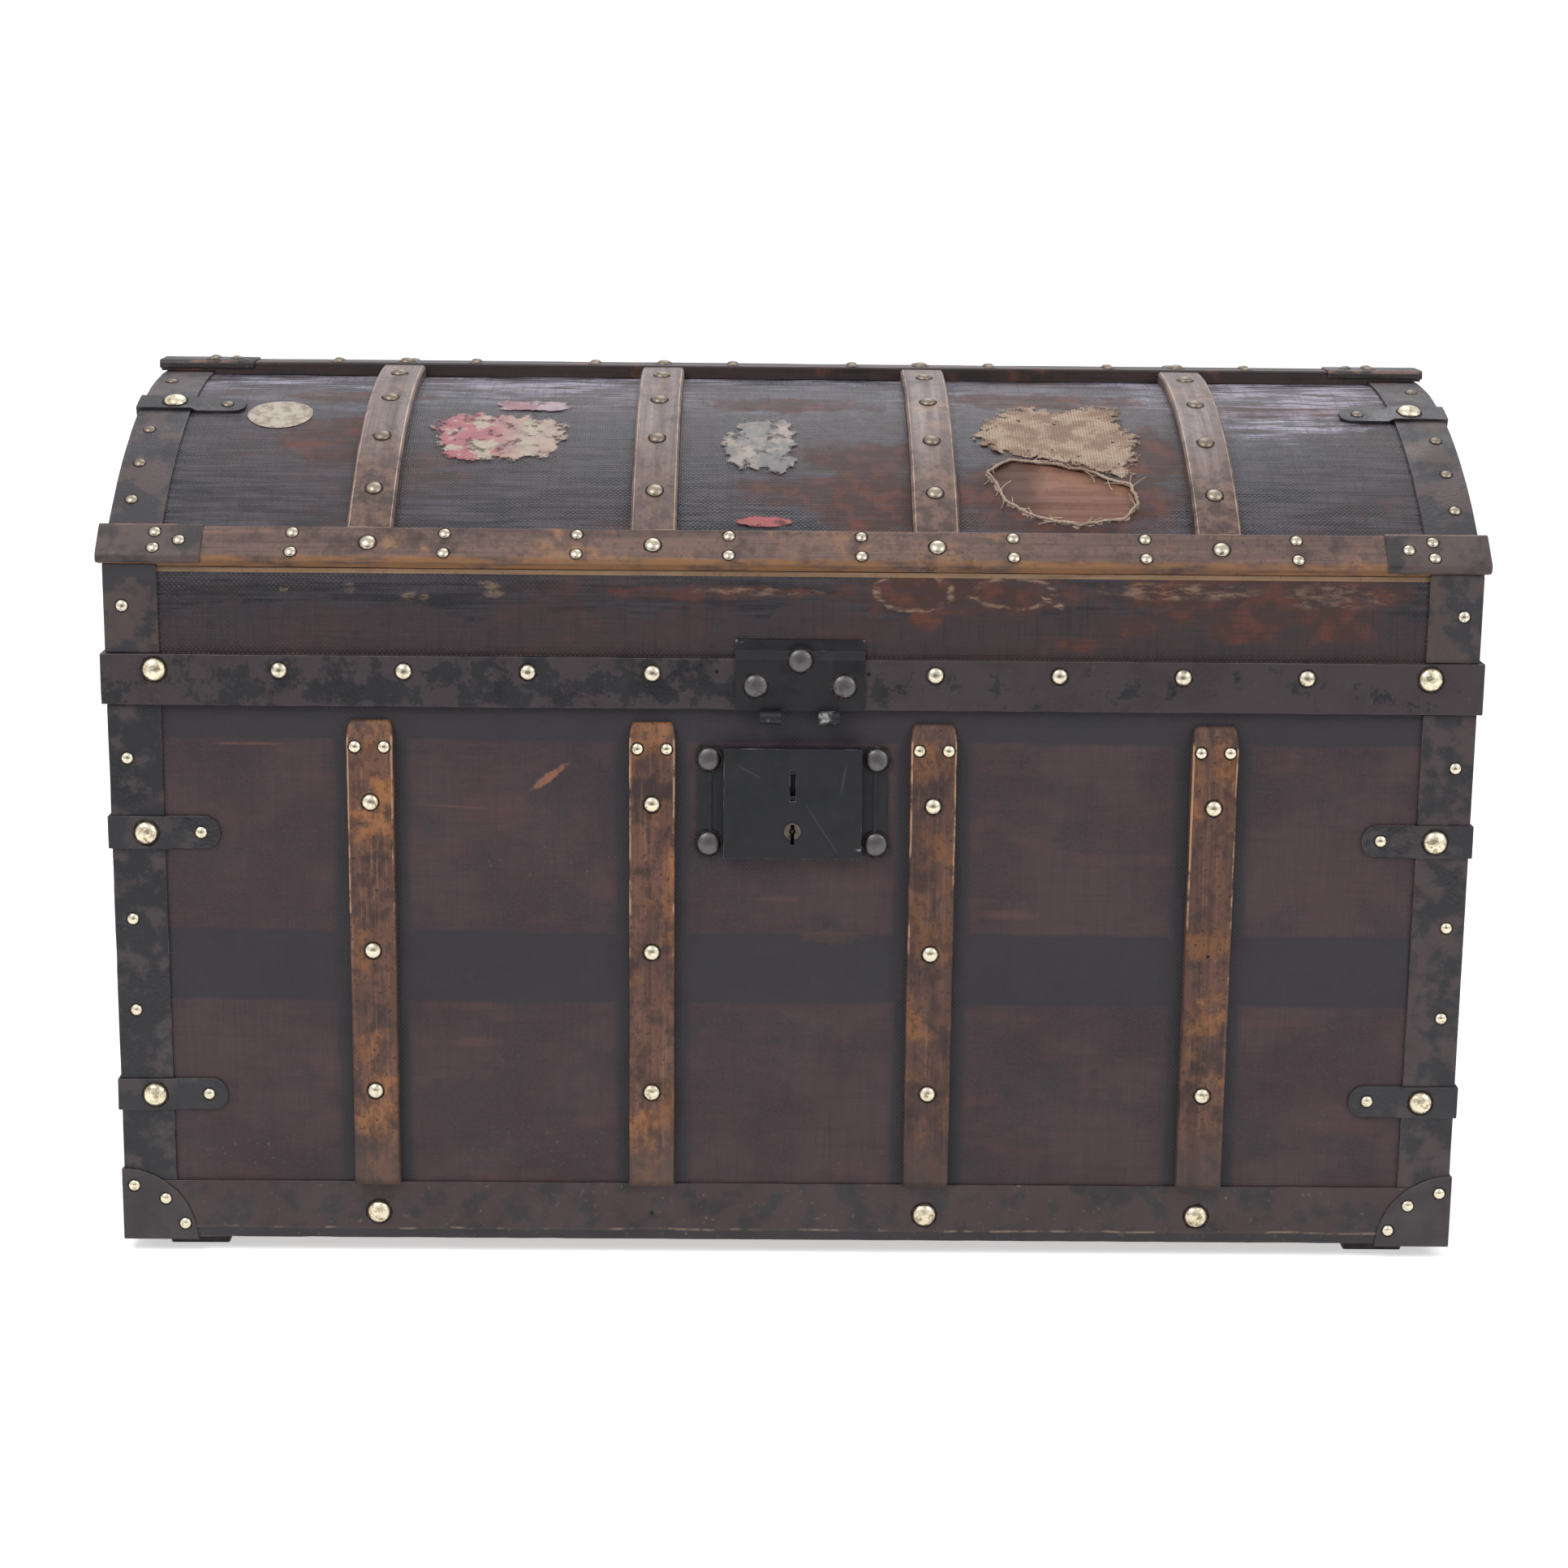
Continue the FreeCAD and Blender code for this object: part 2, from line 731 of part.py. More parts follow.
def build_lock():
    """Lock: a plate with two guides, a hollow cover with slot and keyhole, and a sliding bolt."""
    half = lock_width / 2
    low = lock_z - lock_height / 2
    high = lock_z + lock_height / 2
    box = lock_box_width / 2
    inner = box - lock_wall
    plate = block((-half, -lock_y, low), (half, -canvas_y, high))
    for side in (-1, 1):
        rib_x = side * lock_rib_spread / 2
        rib_low = (rib_x - lock_rib / 2, -lock_y - lock_rib_rise, low)
        plate = plate.fuse(block(rib_low, (rib_x + lock_rib / 2, -lock_y, high)))
    ceiling = lock_front - lock_wall
    for bottom in (slot_z - bolt_height / 2 - bolt_clear - guide, slot_z + bolt_height / 2 + bolt_clear):
        plate = plate.fuse(block((-bolt_travel, -ceiling, bottom), (inner, -lock_y, bottom + guide)))
    key_pin = Part.makeCylinder(key_pin_radius, lock_box_rise, Vector(0, -lock_y, key_z), FRONT)
    plate = plate.fuse(key_pin)
    cover = block((-box, -lock_front, low), (box, -lock_y, high))
    room_low = (-inner, -ceiling, low + lock_wall)
    cover = cover.cut(block(room_low, (inner, -lock_y + overrun, high - lock_wall)))
    slot_low = (-slot_width / 2, -lock_front - overrun, slot_z - slot_height / 2)
    cover = cover.cut(block(slot_low, (slot_width / 2, -ceiling + touch, slot_z + slot_height / 2)))
    drill = FRONT * (lock_wall + key_plate + overrun)
    keyhole = Part.makeCylinder(key_radius, drill.Length, Vector(0, -ceiling, key_z), FRONT)
    key_low = (-key_slot_width / 2, -ceiling + drill.y, key_z - key_slot_drop)
    keyhole = keyhole.fuse(block(key_low, (key_slot_width / 2, -ceiling, key_z + key_slot_rise)))
    ring = Part.makeCylinder(key_plate_radius, key_plate, Vector(0, -lock_front, key_z), FRONT)
    bolt_low = (bolt_rest, -ceiling + bolt_clear, slot_z - bolt_height / 2)
    bolt = block(bolt_low, (bolt_rest + bolt_length, -lock_y - bolt_clear, slot_z + bolt_height / 2))
    save("lock_plate", [plate.removeSplitter()])
    save("lock_cover", [cover.cut(keyhole)])
    save("keyhole_escutcheon", [ring.cut(keyhole)])
    save("lock_bolt", [bolt])


def bail_grip(x, half, z):
    """The bail's grip: a round bar along Y that tapers from its straight middle to both knees."""
    middle = half * grip_middle_share
    points = [
        (-half, 0),
        (-half, bail_radius),
        (-middle, grip_radius),
        (middle, grip_radius),
        (half, bail_radius),
        (half, 0),
    ]
    return outline([Vector(x, y, z + rise) for y, rise in points]).revolve(Vector(x, 0, z), BACK, 360)


def bail_blank(x):
    """A hanging bail: round pins, square legs bent at neck and knee, and a swelled grip."""
    pin_y = ear_spread / 2 + ear_thick / 2
    neck_y = pin_y - ear_thick - bail_side_clear
    leg_y = neck_y - bail_bend
    grip_y = leg_y - bail_corner
    grip_z = handle_z - bail_drop
    knee_z = grip_z + bail_corner
    bar = bail_bar / 2
    leg = block((x - bar, -leg_y - bar, knee_z), (x + bar, -leg_y + bar, handle_z - bail_bend))
    neck = outline([Vector(x + i * bar, -neck_y, handle_z + j * bar) for i, j in SQUARE])
    knee = outline([Vector(x + i * bar, -leg_y + j * bar, knee_z) for i, j in SQUARE])
    half = [
        Part.makeCylinder(bail_radius, pin_y - neck_y, Vector(x, -pin_y, handle_z), BACK),
        neck.revolve(Vector(x, -neck_y, handle_z - bail_bend), ALONG * -1, 90),
        leg,
        knee.revolve(Vector(x, -grip_y, knee_z), ALONG, 90),
    ]
    grip = bail_grip(x, grip_y, grip_z)
    return grip.multiFuse(half + [behind(piece) for piece in half]).removeSplitter()


def build_handles():
    """A plate with two ears on each end, and a bail that drops from the ears."""
    face = canvas_x + handle_plate
    axis_x = face + ear_stand
    half_y = handle_plate_width / 2
    half_z = handle_plate_height / 2
    plate = block((-face, -half_y, handle_z - half_z), (-canvas_x, half_y, handle_z + half_z))
    rounded = [edge for edge in plate.Edges if abs(edge.Length - handle_plate) < touch]
    plate = plate.makeFillet(handle_corner, rounded)
    for side in (-1, 1):
        start = side * ear_spread / 2 - ear_thick / 2
        low = (-axis_x, start, handle_z - ear_radius)
        ear = block(low, (-face, start + ear_thick, handle_z + ear_radius))
        boss = Part.makeCylinder(ear_radius, ear_thick, Vector(-axis_x, start, handle_z), BACK)
        hole_from = Vector(-axis_x, start - overrun, handle_z)
        hole = Part.makeCylinder(bail_radius + bail_clear, ear_thick + 2 * overrun, hole_from, BACK)
        plate = plate.fuse(ear).fuse(boss).cut(hole)
    plate = plate.removeSplitter()
    bail = bail_blank(-axis_x)
    save("handle_plate_left", [plate])
    save("handle_plate_right", [across(plate)])
    save("handle_bail_left", [bail])
    save("handle_bail_right", [across(bail)])


def ring_of(radius, height, sides):
    """Corners of a regular outline at one height."""
    turns = [2 * math.pi * i / sides for i in range(sides)]
    return [Vector(radius * math.cos(turn), radius * math.sin(turn), height) for turn in turns]


def fan(ring, tip):
    """Flat faces from a ring of corners to a point."""
    return [outline([a, b, tip]) for a, b in zip(ring, ring[1:] + ring[:1])]


def stacked(bottom, rings, crown):
    """A closed solid of flat faces: those at its bottom, rings of corners, and a point on top."""
    faces = bottom + fan(rings[-1], UP * crown)
    for lower, upper in zip(rings, rings[1:]):
        for i in range(len(lower)):
            j = (i + 1) % len(lower)
            faces.append(outline([lower[i], lower[j], upper[j], upper[i]]))
    solid = Part.makeSolid(Part.makeShell(faces))
    if solid.Volume < 0:
        solid.reverse()
    return solid


def small_nail():
    """A small tack: a low crown, seated on the surface."""
    rim = ring_of(small_head, 0, few_sides)
    return stacked([outline(rim)], [rim], small_rise)


def medium_nail():
    """A slat nail: a crowned head on a pointed shank."""
    neck = ring_of(shank_radius, 0, few_sides)
    rim = ring_of(medium_head, 0, few_sides)
    return stacked(fan(neck, UP * -medium_shank), [neck, rim], medium_rise)


def large_nail():
    """A domed nail or stud: a rounder head on a shorter shank."""
    neck = ring_of(shank_radius, 0, many_sides)
    rim = ring_of(large_head, 0, many_sides)
    waist = ring_of(large_head * waist_share, large_rise * waist_rise_share, many_sides)
    return stacked(fan(neck, UP * -large_shank), [neck, rim, waist], large_rise)


def driven(nail, places):
    """Copies of a nail, each at a point and along the way its head faces."""
    copies = []
    for point, facing in places:
        copy = nail.copy()
        copy.Placement = Placement(point, Rotation(UP, facing))
        copies.append(copy)
    return copies


def mirrored_places(places, ends=True):
    """The same places at the other end, and then at the back."""
    flipped = list(places)
    if ends:
        flipped += [(Vector(-p.x, p.y, p.z), Vector(-d.x, d.y, d.z)) for p, d in places]
    return flipped + [(Vector(p.x, -p.y, p.z), Vector(d.x, -d.y, d.z)) for p, d in flipped]


def body_nail_places():
    """Places of the body's nails: small, medium and large."""
    left = ALONG * -1
    small = []
    large = []
    for share in edge_nail_shares:
        z = body_z + body_height * share
        small.append((Vector(-leather_x + edge_nail_inset, -leather_y, z), FRONT))
        small.append((Vector(-leather_x, -leather_y + edge_nail_inset, z), left))
    for z in strap_places:
        large.append((Vector(-leather_x + strap_large_inset, -leather_y - leather, z), FRONT))
        large.append((Vector(-leather_x - leather, -leather_y + strap_large_inset, z), left))
        small.append((Vector(-leather_x + strap_small_inset, -canvas_y - leather, z), FRONT))
        small.append((Vector(-canvas_x - leather, -leather_y + strap_small_inset, z), left))
    cap_x = leather_x + cap_sheet
    cap_y = leather_y + cap_sheet
    cap_z = body_z - leather - cap_sheet
    for along_share, up_share in cap_nail_shares:
        along = cap_radius * along_share
        z = cap_z + cap_radius * up_share
        small.append((Vector(-cap_x + along, -cap_y, z), FRONT))
        small.append((Vector(-cap_x, -cap_y + along, z), left))
    small = mirrored_places(small)
    large = mirrored_places(large)
    slat_small = []
    medium = []
    bottom = []
    for place in slat_places:
        for side in (-1, 1):
            spot = Vector(place + side * slat_pair_spread / 2, -slat_y, rim_z - slat_pair_drop)
            slat_small.append((spot, FRONT))
        for share in slat_nail_shares:
            medium.append((Vector(place, -slat_y, body_z + body_height * share), FRONT))
        bottom.append((Vector(place, -leather_y, body_z + bottom_leg * bottom_nail_share), FRONT))
    small += mirrored_places(slat_small, ends=False)
    large += mirrored_places(bottom, ends=False)
    for place in hinge_places():
        for share in (-leaf_nail_share, leaf_nail_share):
            z = hinge_z - hinge_shank - hinge_joggle - hinge_leaf / 2
            small.append((Vector(place + hinge_width * share, canvas_y + hinge_sheet, z), BACK))
    return small, mirrored_places(medium, ends=False), large


def clear_of_hinges(spot):
    """Whether a nail on the lid's band stands beside the hinges, not on them."""
    reach = hinge_width / 2 + medium_head
    return spot.y < 0 or all(abs(spot.x - place) > reach for place in hinge_places())


def lid_nail_places():
    """Places of the lid's nails: small, medium and large."""
    left = ALONG * -1
    nail_z = lid_z + band_height * rim_nail_share
    corner_z = band_z + (shoulder_z - band_z) * lid_corner_nail_share
    small = [
        (Vector(-leather_x + edge_nail_inset, -leather_y, corner_z), FRONT),
        (Vector(-leather_x, -leather_y + edge_nail_inset, corner_z), left),
    ]
    first = band_x - rim_nail_inset
    pitch = (first - slat_inner) / (rim_nail_count - 1)
    large = [
        (Vector(-first, -band_y, nail_z), FRONT),
        (Vector(-band_x, -band_y + rim_nail_inset, nail_z), left),
    ]
    medium = [(Vector(-band_x, -rim_end_pitch / 2, nail_z), left)]
    for i in range(1, rim_nail_count):
        medium.append((Vector(-first + pitch * i, -band_y, nail_z), FRONT))
    for degrees in dome_edge_deg:
        angle = math.radians(degrees)
        spot = dome_point(-leather_x + edge_nail_inset, leather_radius, angle)
        small.append((spot, dome_out(angle)))
        small.append((dome_point(-leather_x, leather_radius - edge_nail_inset, angle), left))
    angle = math.radians(dome_strap_deg)
    strap_top = leather_radius + leather
    large.append((dome_point(-leather_x + strap_large_inset, strap_top, angle), dome_out(angle)))
    large.append((dome_point(-leather_x - leather, leather_radius - strap_large_inset, angle), left))
    spot = dome_point(-leather_x + strap_small_inset, canvas_radius + leather, angle)
    small.append((spot, dome_out(angle)))
    small.append((dome_point(-canvas_x - leather, leather_radius - strap_small_inset, angle), left))
    small = mirrored_places(small)
    medium = [(spot, out) for spot, out in mirrored_places(medium) if clear_of_hinges(spot)]
    slat_medium = []
    for place in slat_places:
        for degrees in dome_nail_deg:
            angle = math.radians(degrees)
            slat_medium.append((dome_point(place, slat_radius, angle), dome_out(angle)))
    medium += mirrored_places(slat_medium, ends=False)
    for angle in (batten_angle, 0, -batten_angle):
        out = dome_out(angle)
        over = Vector(0, math.cos(angle), math.sin(angle))
        top = dome_point(0, batten_radius, angle)
        for place in slat_places:
            medium.append((top + ALONG * place, out))
            for side in (-1, 1):
                spot = top + ALONG * (place + side * batten_pair_offset)
                small.append((spot - over * (batten_pair_spread / 2), out))
                small.append((spot + over * (batten_pair_spread / 2), out))
        for side in (-1, 1):
            spot = top + out * tip_sheet + ALONG * (side * (batten_half - tip_nail_inset))
            small.append((spot - over * (tip_nail_spread / 2), out))
            small.append((spot + over * (tip_nail_spread / 2), out))
            small.append((spot - ALONG * (side * tip_nail_step), out))
    for place in hinge_places():
        for share in (-leaf_nail_share, leaf_nail_share):
            small.append((Vector(place + hinge_width * share, band_y + hinge_sheet, nail_z), BACK))
    return small, medium, mirrored_places(large)


def build_nails():
    """All the nails, grouped by size, and the studs of the lock, the hasp and the handles."""
    for name, places in (("body", body_nail_places()), ("lid", lid_nail_places())):
        small, medium, large = places
        save(name + "_small_nails", driven(small_nail(), small))
        save(name + "_medium_nails", driven(medium_nail(), medium))
        save(name + "_large_nails", driven(large_nail(), large))
    lock_studs = []
    for side in (-1, 1):
        for level in (-1, 1):
            x = side * lock_stud_spread / 2
            z = lock_z + level * lock_stud_height / 2
            lock_studs.append((Vector(x, -lock_y - lock_rib_rise, z), FRONT))
    save("lock_studs", driven(large_nail(), lock_studs))
    face = band_y + lock_sheet
    low_z = lid_z + band_height * hasp_stud_low_share
    high_z = lid_z + band_height * hasp_stud_high_share
    hasp_studs = [(Vector(hasp_shift, -face, high_z), FRONT)]
    for side in (-1, 1):
        hasp_studs.append((Vector(hasp_shift + side * hasp_stud_spread / 2, -face, low_z), FRONT))
    save("hasp_studs", driven(large_nail(), hasp_studs))
    rivets = []
    for end in (-1, 1):
        for side in (-1, 1):
            for level in (-1, 1):
                x = end * (canvas_x + handle_plate)
                spot = Vector(x, side * rivet_spread_y / 2, handle_z + level * rivet_spread_z / 2)
                rivets.append((spot, ALONG * end))
    save("handle_rivets", driven(medium_nail(), rivets))


def main():
    """Build every piece of the trunk."""
    os.makedirs("parts", exist_ok=True)
    build_body_boards()
    build_body_skins()
    build_runners()
    build_body_bindings()
    build_corner_caps()
    build_straps()
    build_body_slats()
    build_lid_boards()
    build_staves()
    build_lid_skins()
    build_rim_band()
    build_lid_bindings()
    build_battens()
    build_dome_slats()
    build_hinges()
    build_hasp()
    build_lock()
    build_handles()
    build_nails()


main()
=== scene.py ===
"""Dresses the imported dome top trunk.

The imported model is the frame: each piece here is cut from one of its nodes or laid on it, and rides on that
node's body. Lengths are in metres. Angles round the dome count from its crest, positive towards the front.
"""

import logging
import math
import random
from collections.abc import Callable, Iterable
from dataclasses import dataclass, field, replace
from enum import Enum

import bmesh
import bpy
from bmesh.types import BMesh, BMFace, BMVert
from mathutils import Matrix, Vector, noise


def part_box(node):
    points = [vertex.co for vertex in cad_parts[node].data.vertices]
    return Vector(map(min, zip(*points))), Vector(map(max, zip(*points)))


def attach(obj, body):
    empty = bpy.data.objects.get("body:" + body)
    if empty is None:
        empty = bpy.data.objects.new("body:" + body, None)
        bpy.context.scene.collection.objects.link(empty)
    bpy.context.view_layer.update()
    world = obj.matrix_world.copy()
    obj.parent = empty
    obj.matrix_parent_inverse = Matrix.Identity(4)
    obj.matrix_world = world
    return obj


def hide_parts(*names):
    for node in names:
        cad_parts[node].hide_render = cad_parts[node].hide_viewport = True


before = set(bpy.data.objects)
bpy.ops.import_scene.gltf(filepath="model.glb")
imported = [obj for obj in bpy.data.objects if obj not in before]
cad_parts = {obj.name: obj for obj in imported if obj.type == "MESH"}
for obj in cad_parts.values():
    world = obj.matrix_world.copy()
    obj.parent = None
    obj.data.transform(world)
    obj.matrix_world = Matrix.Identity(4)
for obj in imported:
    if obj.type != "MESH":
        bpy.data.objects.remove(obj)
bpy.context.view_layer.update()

Pair = tuple[float, float]
Triple = tuple[float, float, float]
Colour = Triple
Socket = bpy.types.NodeSocket
Value = float | Colour | Socket

log = logging.getLogger("trunk")

MERGE_DISTANCE = 0.00001
FLAT_ANGLE = math.radians(0.5)
SLIM = 0.0006
NOWHERE = (0.0, 0.0, 0.0)
WHITE = (1.0, 1.0, 1.0)
WEAR = "wear"
CLOTH = "cloth"
MIDDLE = (0.3, 0.7)
PARALLEL = 1e-12
TEAR_WAVES = ((2.1, 1.0), (5.3, 0.6), (13.0, 0.45), (31.0, 0.3))


class Body(Enum):
    """The bodies that pieces ride on."""

    CASE = "case"
    LID = "lid"
    BOLT = "bolt"
    LEFT_BAIL = "left_bail"
    RIGHT_BAIL = "right_bail"


class Fibres(Enum):
    """The way that wood fibres run on a piece."""

    LENGTHWISE = "x"
    CROSSWISE = "y"
    UPRIGHT = "z"
    BENT = "the piece's own map"


class Effect(Enum):
    """The surface effects that finishes share, each one a node group."""

    WEAVE = "woven_threads"
    GRAIN = "wood_grain"
    WEAR = "worn_edges"
    MOTTLE = "mottled_patches"
    PATCH = "rubbed_patch"
    STRIPE = "painted_stripe"
    STREAK = "brush_streaks"

    def tree(self) -> bpy.types.NodeTree:
        """The effect's node group, built on its first use."""
        made = bpy.data.node_groups.get(self.value)
        return made or EFFECT_BUILDERS[self](self.value)


class Board:
    """Adds the nodes of one shader tree and wires them."""

    def __init__(self, tree: bpy.types.NodeTree) -> None:
        """Starts on the tree that the nodes go into."""
        self.tree = tree
        self.column = 0

    def add(self, kind: str, inputs: dict | None = None, **settings: object) -> bpy.types.Node:
        """Adds a node.

        Args:
            kind: the node's type name.
            inputs: what feeds each input, by its name or number.
            settings: the node's own settings.

        Returns:
            The new node.
        """
        node = self.tree.nodes.new(kind)
        node.location = (200.0 * self.column, 0.0)
        self.column += 1
        for name, value in settings.items():
            setattr(node, name, value)
        self.fill(node, inputs or {})
        return node

    def fill(self, node: bpy.types.Node, inputs: dict[str | int, Value]) -> None:
        """Links a node's inputs to other sockets, or sets their values.

        Args:
            node: the node.
            inputs: an output socket, a number, a vector or a colour for each input.
        """
        for key, value in inputs.items():
            socket = node.inputs[key]
            if isinstance(value, Socket):
                self.tree.links.new(value, socket)
            elif socket.type == "RGBA":
                socket.default_value = (*value, 1.0)
            else:
                socket.default_value = value

    def math(self, operation: str, *values: Value) -> Socket:
        """A sum of numbers, by the name of its operation."""
        return self.add("ShaderNodeMath", dict(enumerate(values)), operation=operation).outputs[0]

    def times(self, first: Value, second: Value) -> Socket:
        """The product of two numbers."""
        return self.math("MULTIPLY", first, second)

    def plus(self, first: Value, second: Value) -> Socket:
        """The total of two numbers."""
        return self.math("ADD", first, second)

    def less(self, first: Value, second: Value) -> Socket:
        """The difference of two numbers."""
        return self.math("SUBTRACT", first, second)

    def highest(self, *values: Value) -> Socket:
        """The highest of some numbers."""
        top = values[0]
        for value in values[1:]:
            top = self.math("MAXIMUM", top, value)
        return top

    def vector_math(self, operation: str, *values: Value) -> bpy.types.Node:
        """A sum of vectors, by the name of its operation."""
        return self.add("ShaderNodeVectorMath", dict(enumerate(values)), operation=operation)

    def mix(self, share: Value, first: Value, second: Value) -> Socket:
        """A colour between two others."""
        return self.add("ShaderNodeMix", {0: share, 6: first, 7: second}, data_type="RGBA").outputs[2]

    def cloud(self, vector: Socket, scale: Value, detail: float = 3.0, rough: float = 0.55) -> Socket:
        """A cloudy value from 0 to 1.

        Args:
            vector: the coordinates.
            scale: how many clouds to a metre.
            detail: how many finer layers are added.
            rough: how strong the finer layers are.

        Returns:
            The value's socket.
        """
        inputs = {"Vector": vector, "Scale": scale, "Detail": detail, "Roughness": rough}
        return self.add("ShaderNodeTexNoise", inputs).outputs[0]

    def wander(self, vector: Socket, scale: Value, reach: Value, *layers: float) -> Socket:
        """A cloudy number on both sides of 0, of the given reach from lowest to highest."""
        return self.times(self.less(self.cloud(vector, scale, *layers), 0.5), reach)

    def slope(self, value: Value, low: Value, high: Value, start: float = 0.0, stop: float = 1.0) -> Socket:
        """A smooth step between two levels.

        Args:
            value: the value that is stepped.
            low: where the step begins.
            high: where the step ends.
            start: the result up to low.
            stop: the result from high on.

        Returns:
            The step's socket.
        """
        inputs = {"Value": value, "From Min": low, "From Max": high, "To Min": start, "To Max": stop}
        return self.add("ShaderNodeMapRange", inputs, interpolation_type="SMOOTHSTEP").outputs[0]

    def place(self) -> Socket:
        """The coordinates of the piece's own space."""
        return self.add("ShaderNodeTexCoord").outputs["Object"]

    def cloth(self) -> Socket:
        """The coordinates of the piece's own map."""
        return self.add("ShaderNodeUVMap", uv_map=CLOTH).outputs["UV"]

    def split(self, vector: Socket) -> list[Socket]:
        """The three parts of a vector."""
        return list(self.add("ShaderNodeSeparateXYZ", {0: vector}).outputs)

    def join(self, *parts: Value) -> Socket:
        """A vector from its parts."""
        return self.add("ShaderNodeCombineXYZ", dict(enumerate(parts))).outputs[0]

    def scaled(self, vector: Socket, scale: Triple, turn: Triple = NOWHERE) -> Socket:
        """Coordinates that are stretched and turned."""
        return self.add("ShaderNodeMapping", {"Vector": vector, "Scale": scale, "Rotation": turn}).outputs[0]

    def effect(self, effect: Effect, **inputs: Value) -> bpy.types.Node:
        """Places one of the shared effects, with its own values."""
        return self.add("ShaderNodeGroup", inputs, node_tree=effect.tree())

    def weave(self, cloth: Socket, pitch: float) -> Socket:
        """The height of woven threads."""
        return self.effect(Effect.WEAVE, Vector=cloth, Pitch=pitch).outputs[0]

    def streaks(self, vector: Socket) -> Socket:
        """Streaks along the first coordinate, from 0 to 1."""
        return self.effect(Effect.STREAK, Vector=vector).outputs[0]

    def drawn_cloud(self, vector: Socket, share: float, *layers: float) -> Socket:
        """A cloudy value that is drawn out along the first coordinate, of which a share counts."""
        return self.cloud(self.scaled(vector, (share, 1.0, 1.0)), *layers)

    def drift(self, vector: Socket, scale: float, start: float, stop: float) -> Socket:
        """A number that drifts between two others."""
        return self.slope(self.cloud(vector, scale), *MIDDLE, start, stop)

    def mottle(self, vector: Socket, scale: float, low: float, high: float, share: float = 1.0) -> Socket:
        """A mask of patches, soft or crisp by how near the levels lie, up to a share."""
        mask = self.effect(Effect.MOTTLE, Vector=vector, Scale=scale, Low=low, High=high).outputs[0]
        return mask if share == 1.0 else self.times(mask, share)

    def stripe(self, level: Socket, low: float, high: float, soft: float) -> Socket:
        """A mask of a stripe between two levels of one coordinate."""
        return self.effect(Effect.STRIPE, Level=level, Low=low, High=high, Soft=soft).outputs[0]

    def rubbed(self, vector: Socket, scale: float, reach: float) -> Socket:
        """A mask of the rounded edges that are rubbed bare."""
        wear = self.add("ShaderNodeAttribute", attribute_name=WEAR).outputs["Fac"]
        return self.effect(Effect.WEAR, Wear=wear, Vector=vector, Scale=scale, Reach=reach).outputs[0]

    def marked(self, places: "Iterable[RubbedPlace]", flat: Socket) -> Socket:
        """A mask of some rubbed places on a flat map."""
        return self.highest(*(place.mask(self, flat) for place in places))

    def bump(self, height: Socket, depth: float, strength: float = 1.0) -> Socket:
        """A normal from a height.

        Args:
            height: the height, from 0 to 1.
            depth: the real height of 1, in metres.
            strength: how much of it shows.

        Returns:
            The normal's socket.
        """
        inputs = {"Height": height, "Distance": depth, "Strength": strength}
        return self.add("ShaderNodeBump", inputs).outputs[0]


def open_group(name: str, inputs: dict[str, float | Triple], outputs: Iterable[str]) -> tuple[Board, dict]:
    """Starts a node group.

    Args:
        name: the group's name.
        inputs: the default of each input, by its label.
        outputs: the labels of the outputs.

    Returns:
        A board on the group, and its inputs by label.
    """
    tree = bpy.data.node_groups.new(name, "ShaderNodeTree")
    for label, default in inputs.items():
        kind = "NodeSocketVector" if isinstance(default, tuple) else "NodeSocketFloat"
        socket = tree.interface.new_socket(label, in_out="INPUT", socket_type=kind)
        socket.default_value = default
    for label in outputs:
        tree.interface.new_socket(label, in_out="OUTPUT", socket_type="NodeSocketFloat")
    board = Board(tree)
    entry = board.add("NodeGroupInput")
    return board, {label: entry.outputs[label] for label in inputs}


def close_group(board: Board, outputs: dict[str, Socket]) -> bpy.types.NodeTree:
    """Wires a group's outputs and gives the group back."""
    board.add("NodeGroupOutput", outputs)
    return board.tree


def weave_group(name: str) -> bpy.types.NodeTree:
    """Plain weave: threads that pass over and under each other, with slubs."""
    board, entry = open_group(name, {"Vector": NOWHERE, "Pitch": 0.0012}, ("Height",))
    waves = []
    for part in board.split(entry["Vector"])[:2]:
        count = board.math("DIVIDE", part, entry["Pitch"])
        waves.append(board.math("SINE", board.times(count, math.pi)))
    over = board.math("GREATER_THAN", board.times(*waves), 0.0)
    warp = board.times(over, board.math("ABSOLUTE", waves[0]))
    weft = board.times(board.less(1.0, over), board.math("ABSOLUTE", waves[1]))
    slubs = board.drift(entry["Vector"], 160.0, 0.55, 1.0)
    return close_group(board, {"Height": board.times(board.plus(warp, weft), slubs)})


def grain_group(name: str) -> bpy.types.NodeTree:
    """Wood: fine fibres and the broader figure, on coordinates already drawn out along the grain."""
    board, entry = open_group(name, {"Vector": NOWHERE}, ("Fibre", "Figure"))
    fibre = board.cloud(entry["Vector"], 560.0, 4.0, 0.65)
    figure = board.cloud(entry["Vector"], 130.0, 3.0, 0.55)
    return close_group(board, {"Fibre": fibre, "Figure": figure})


def wear_group(name: str) -> bpy.types.NodeTree:
    """Edges rubbed bare, broken up so that the wear comes and goes."""
    inputs = {"Wear": 0.0, "Vector": NOWHERE, "Scale": 60.0, "Reach": 0.4}
    board, entry = open_group(name, inputs, ("Mask",))
    level = board.plus(entry["Wear"], board.wander(entry["Vector"], entry["Scale"], 2.4, 5.0, 0.65))
    start = board.less(1.0, entry["Reach"])
    mask = board.slope(level, start, board.plus(start, 0.3))
    return close_group(board, {"Mask": board.times(mask, board.slope(entry["Wear"], 0.05, 0.5))})


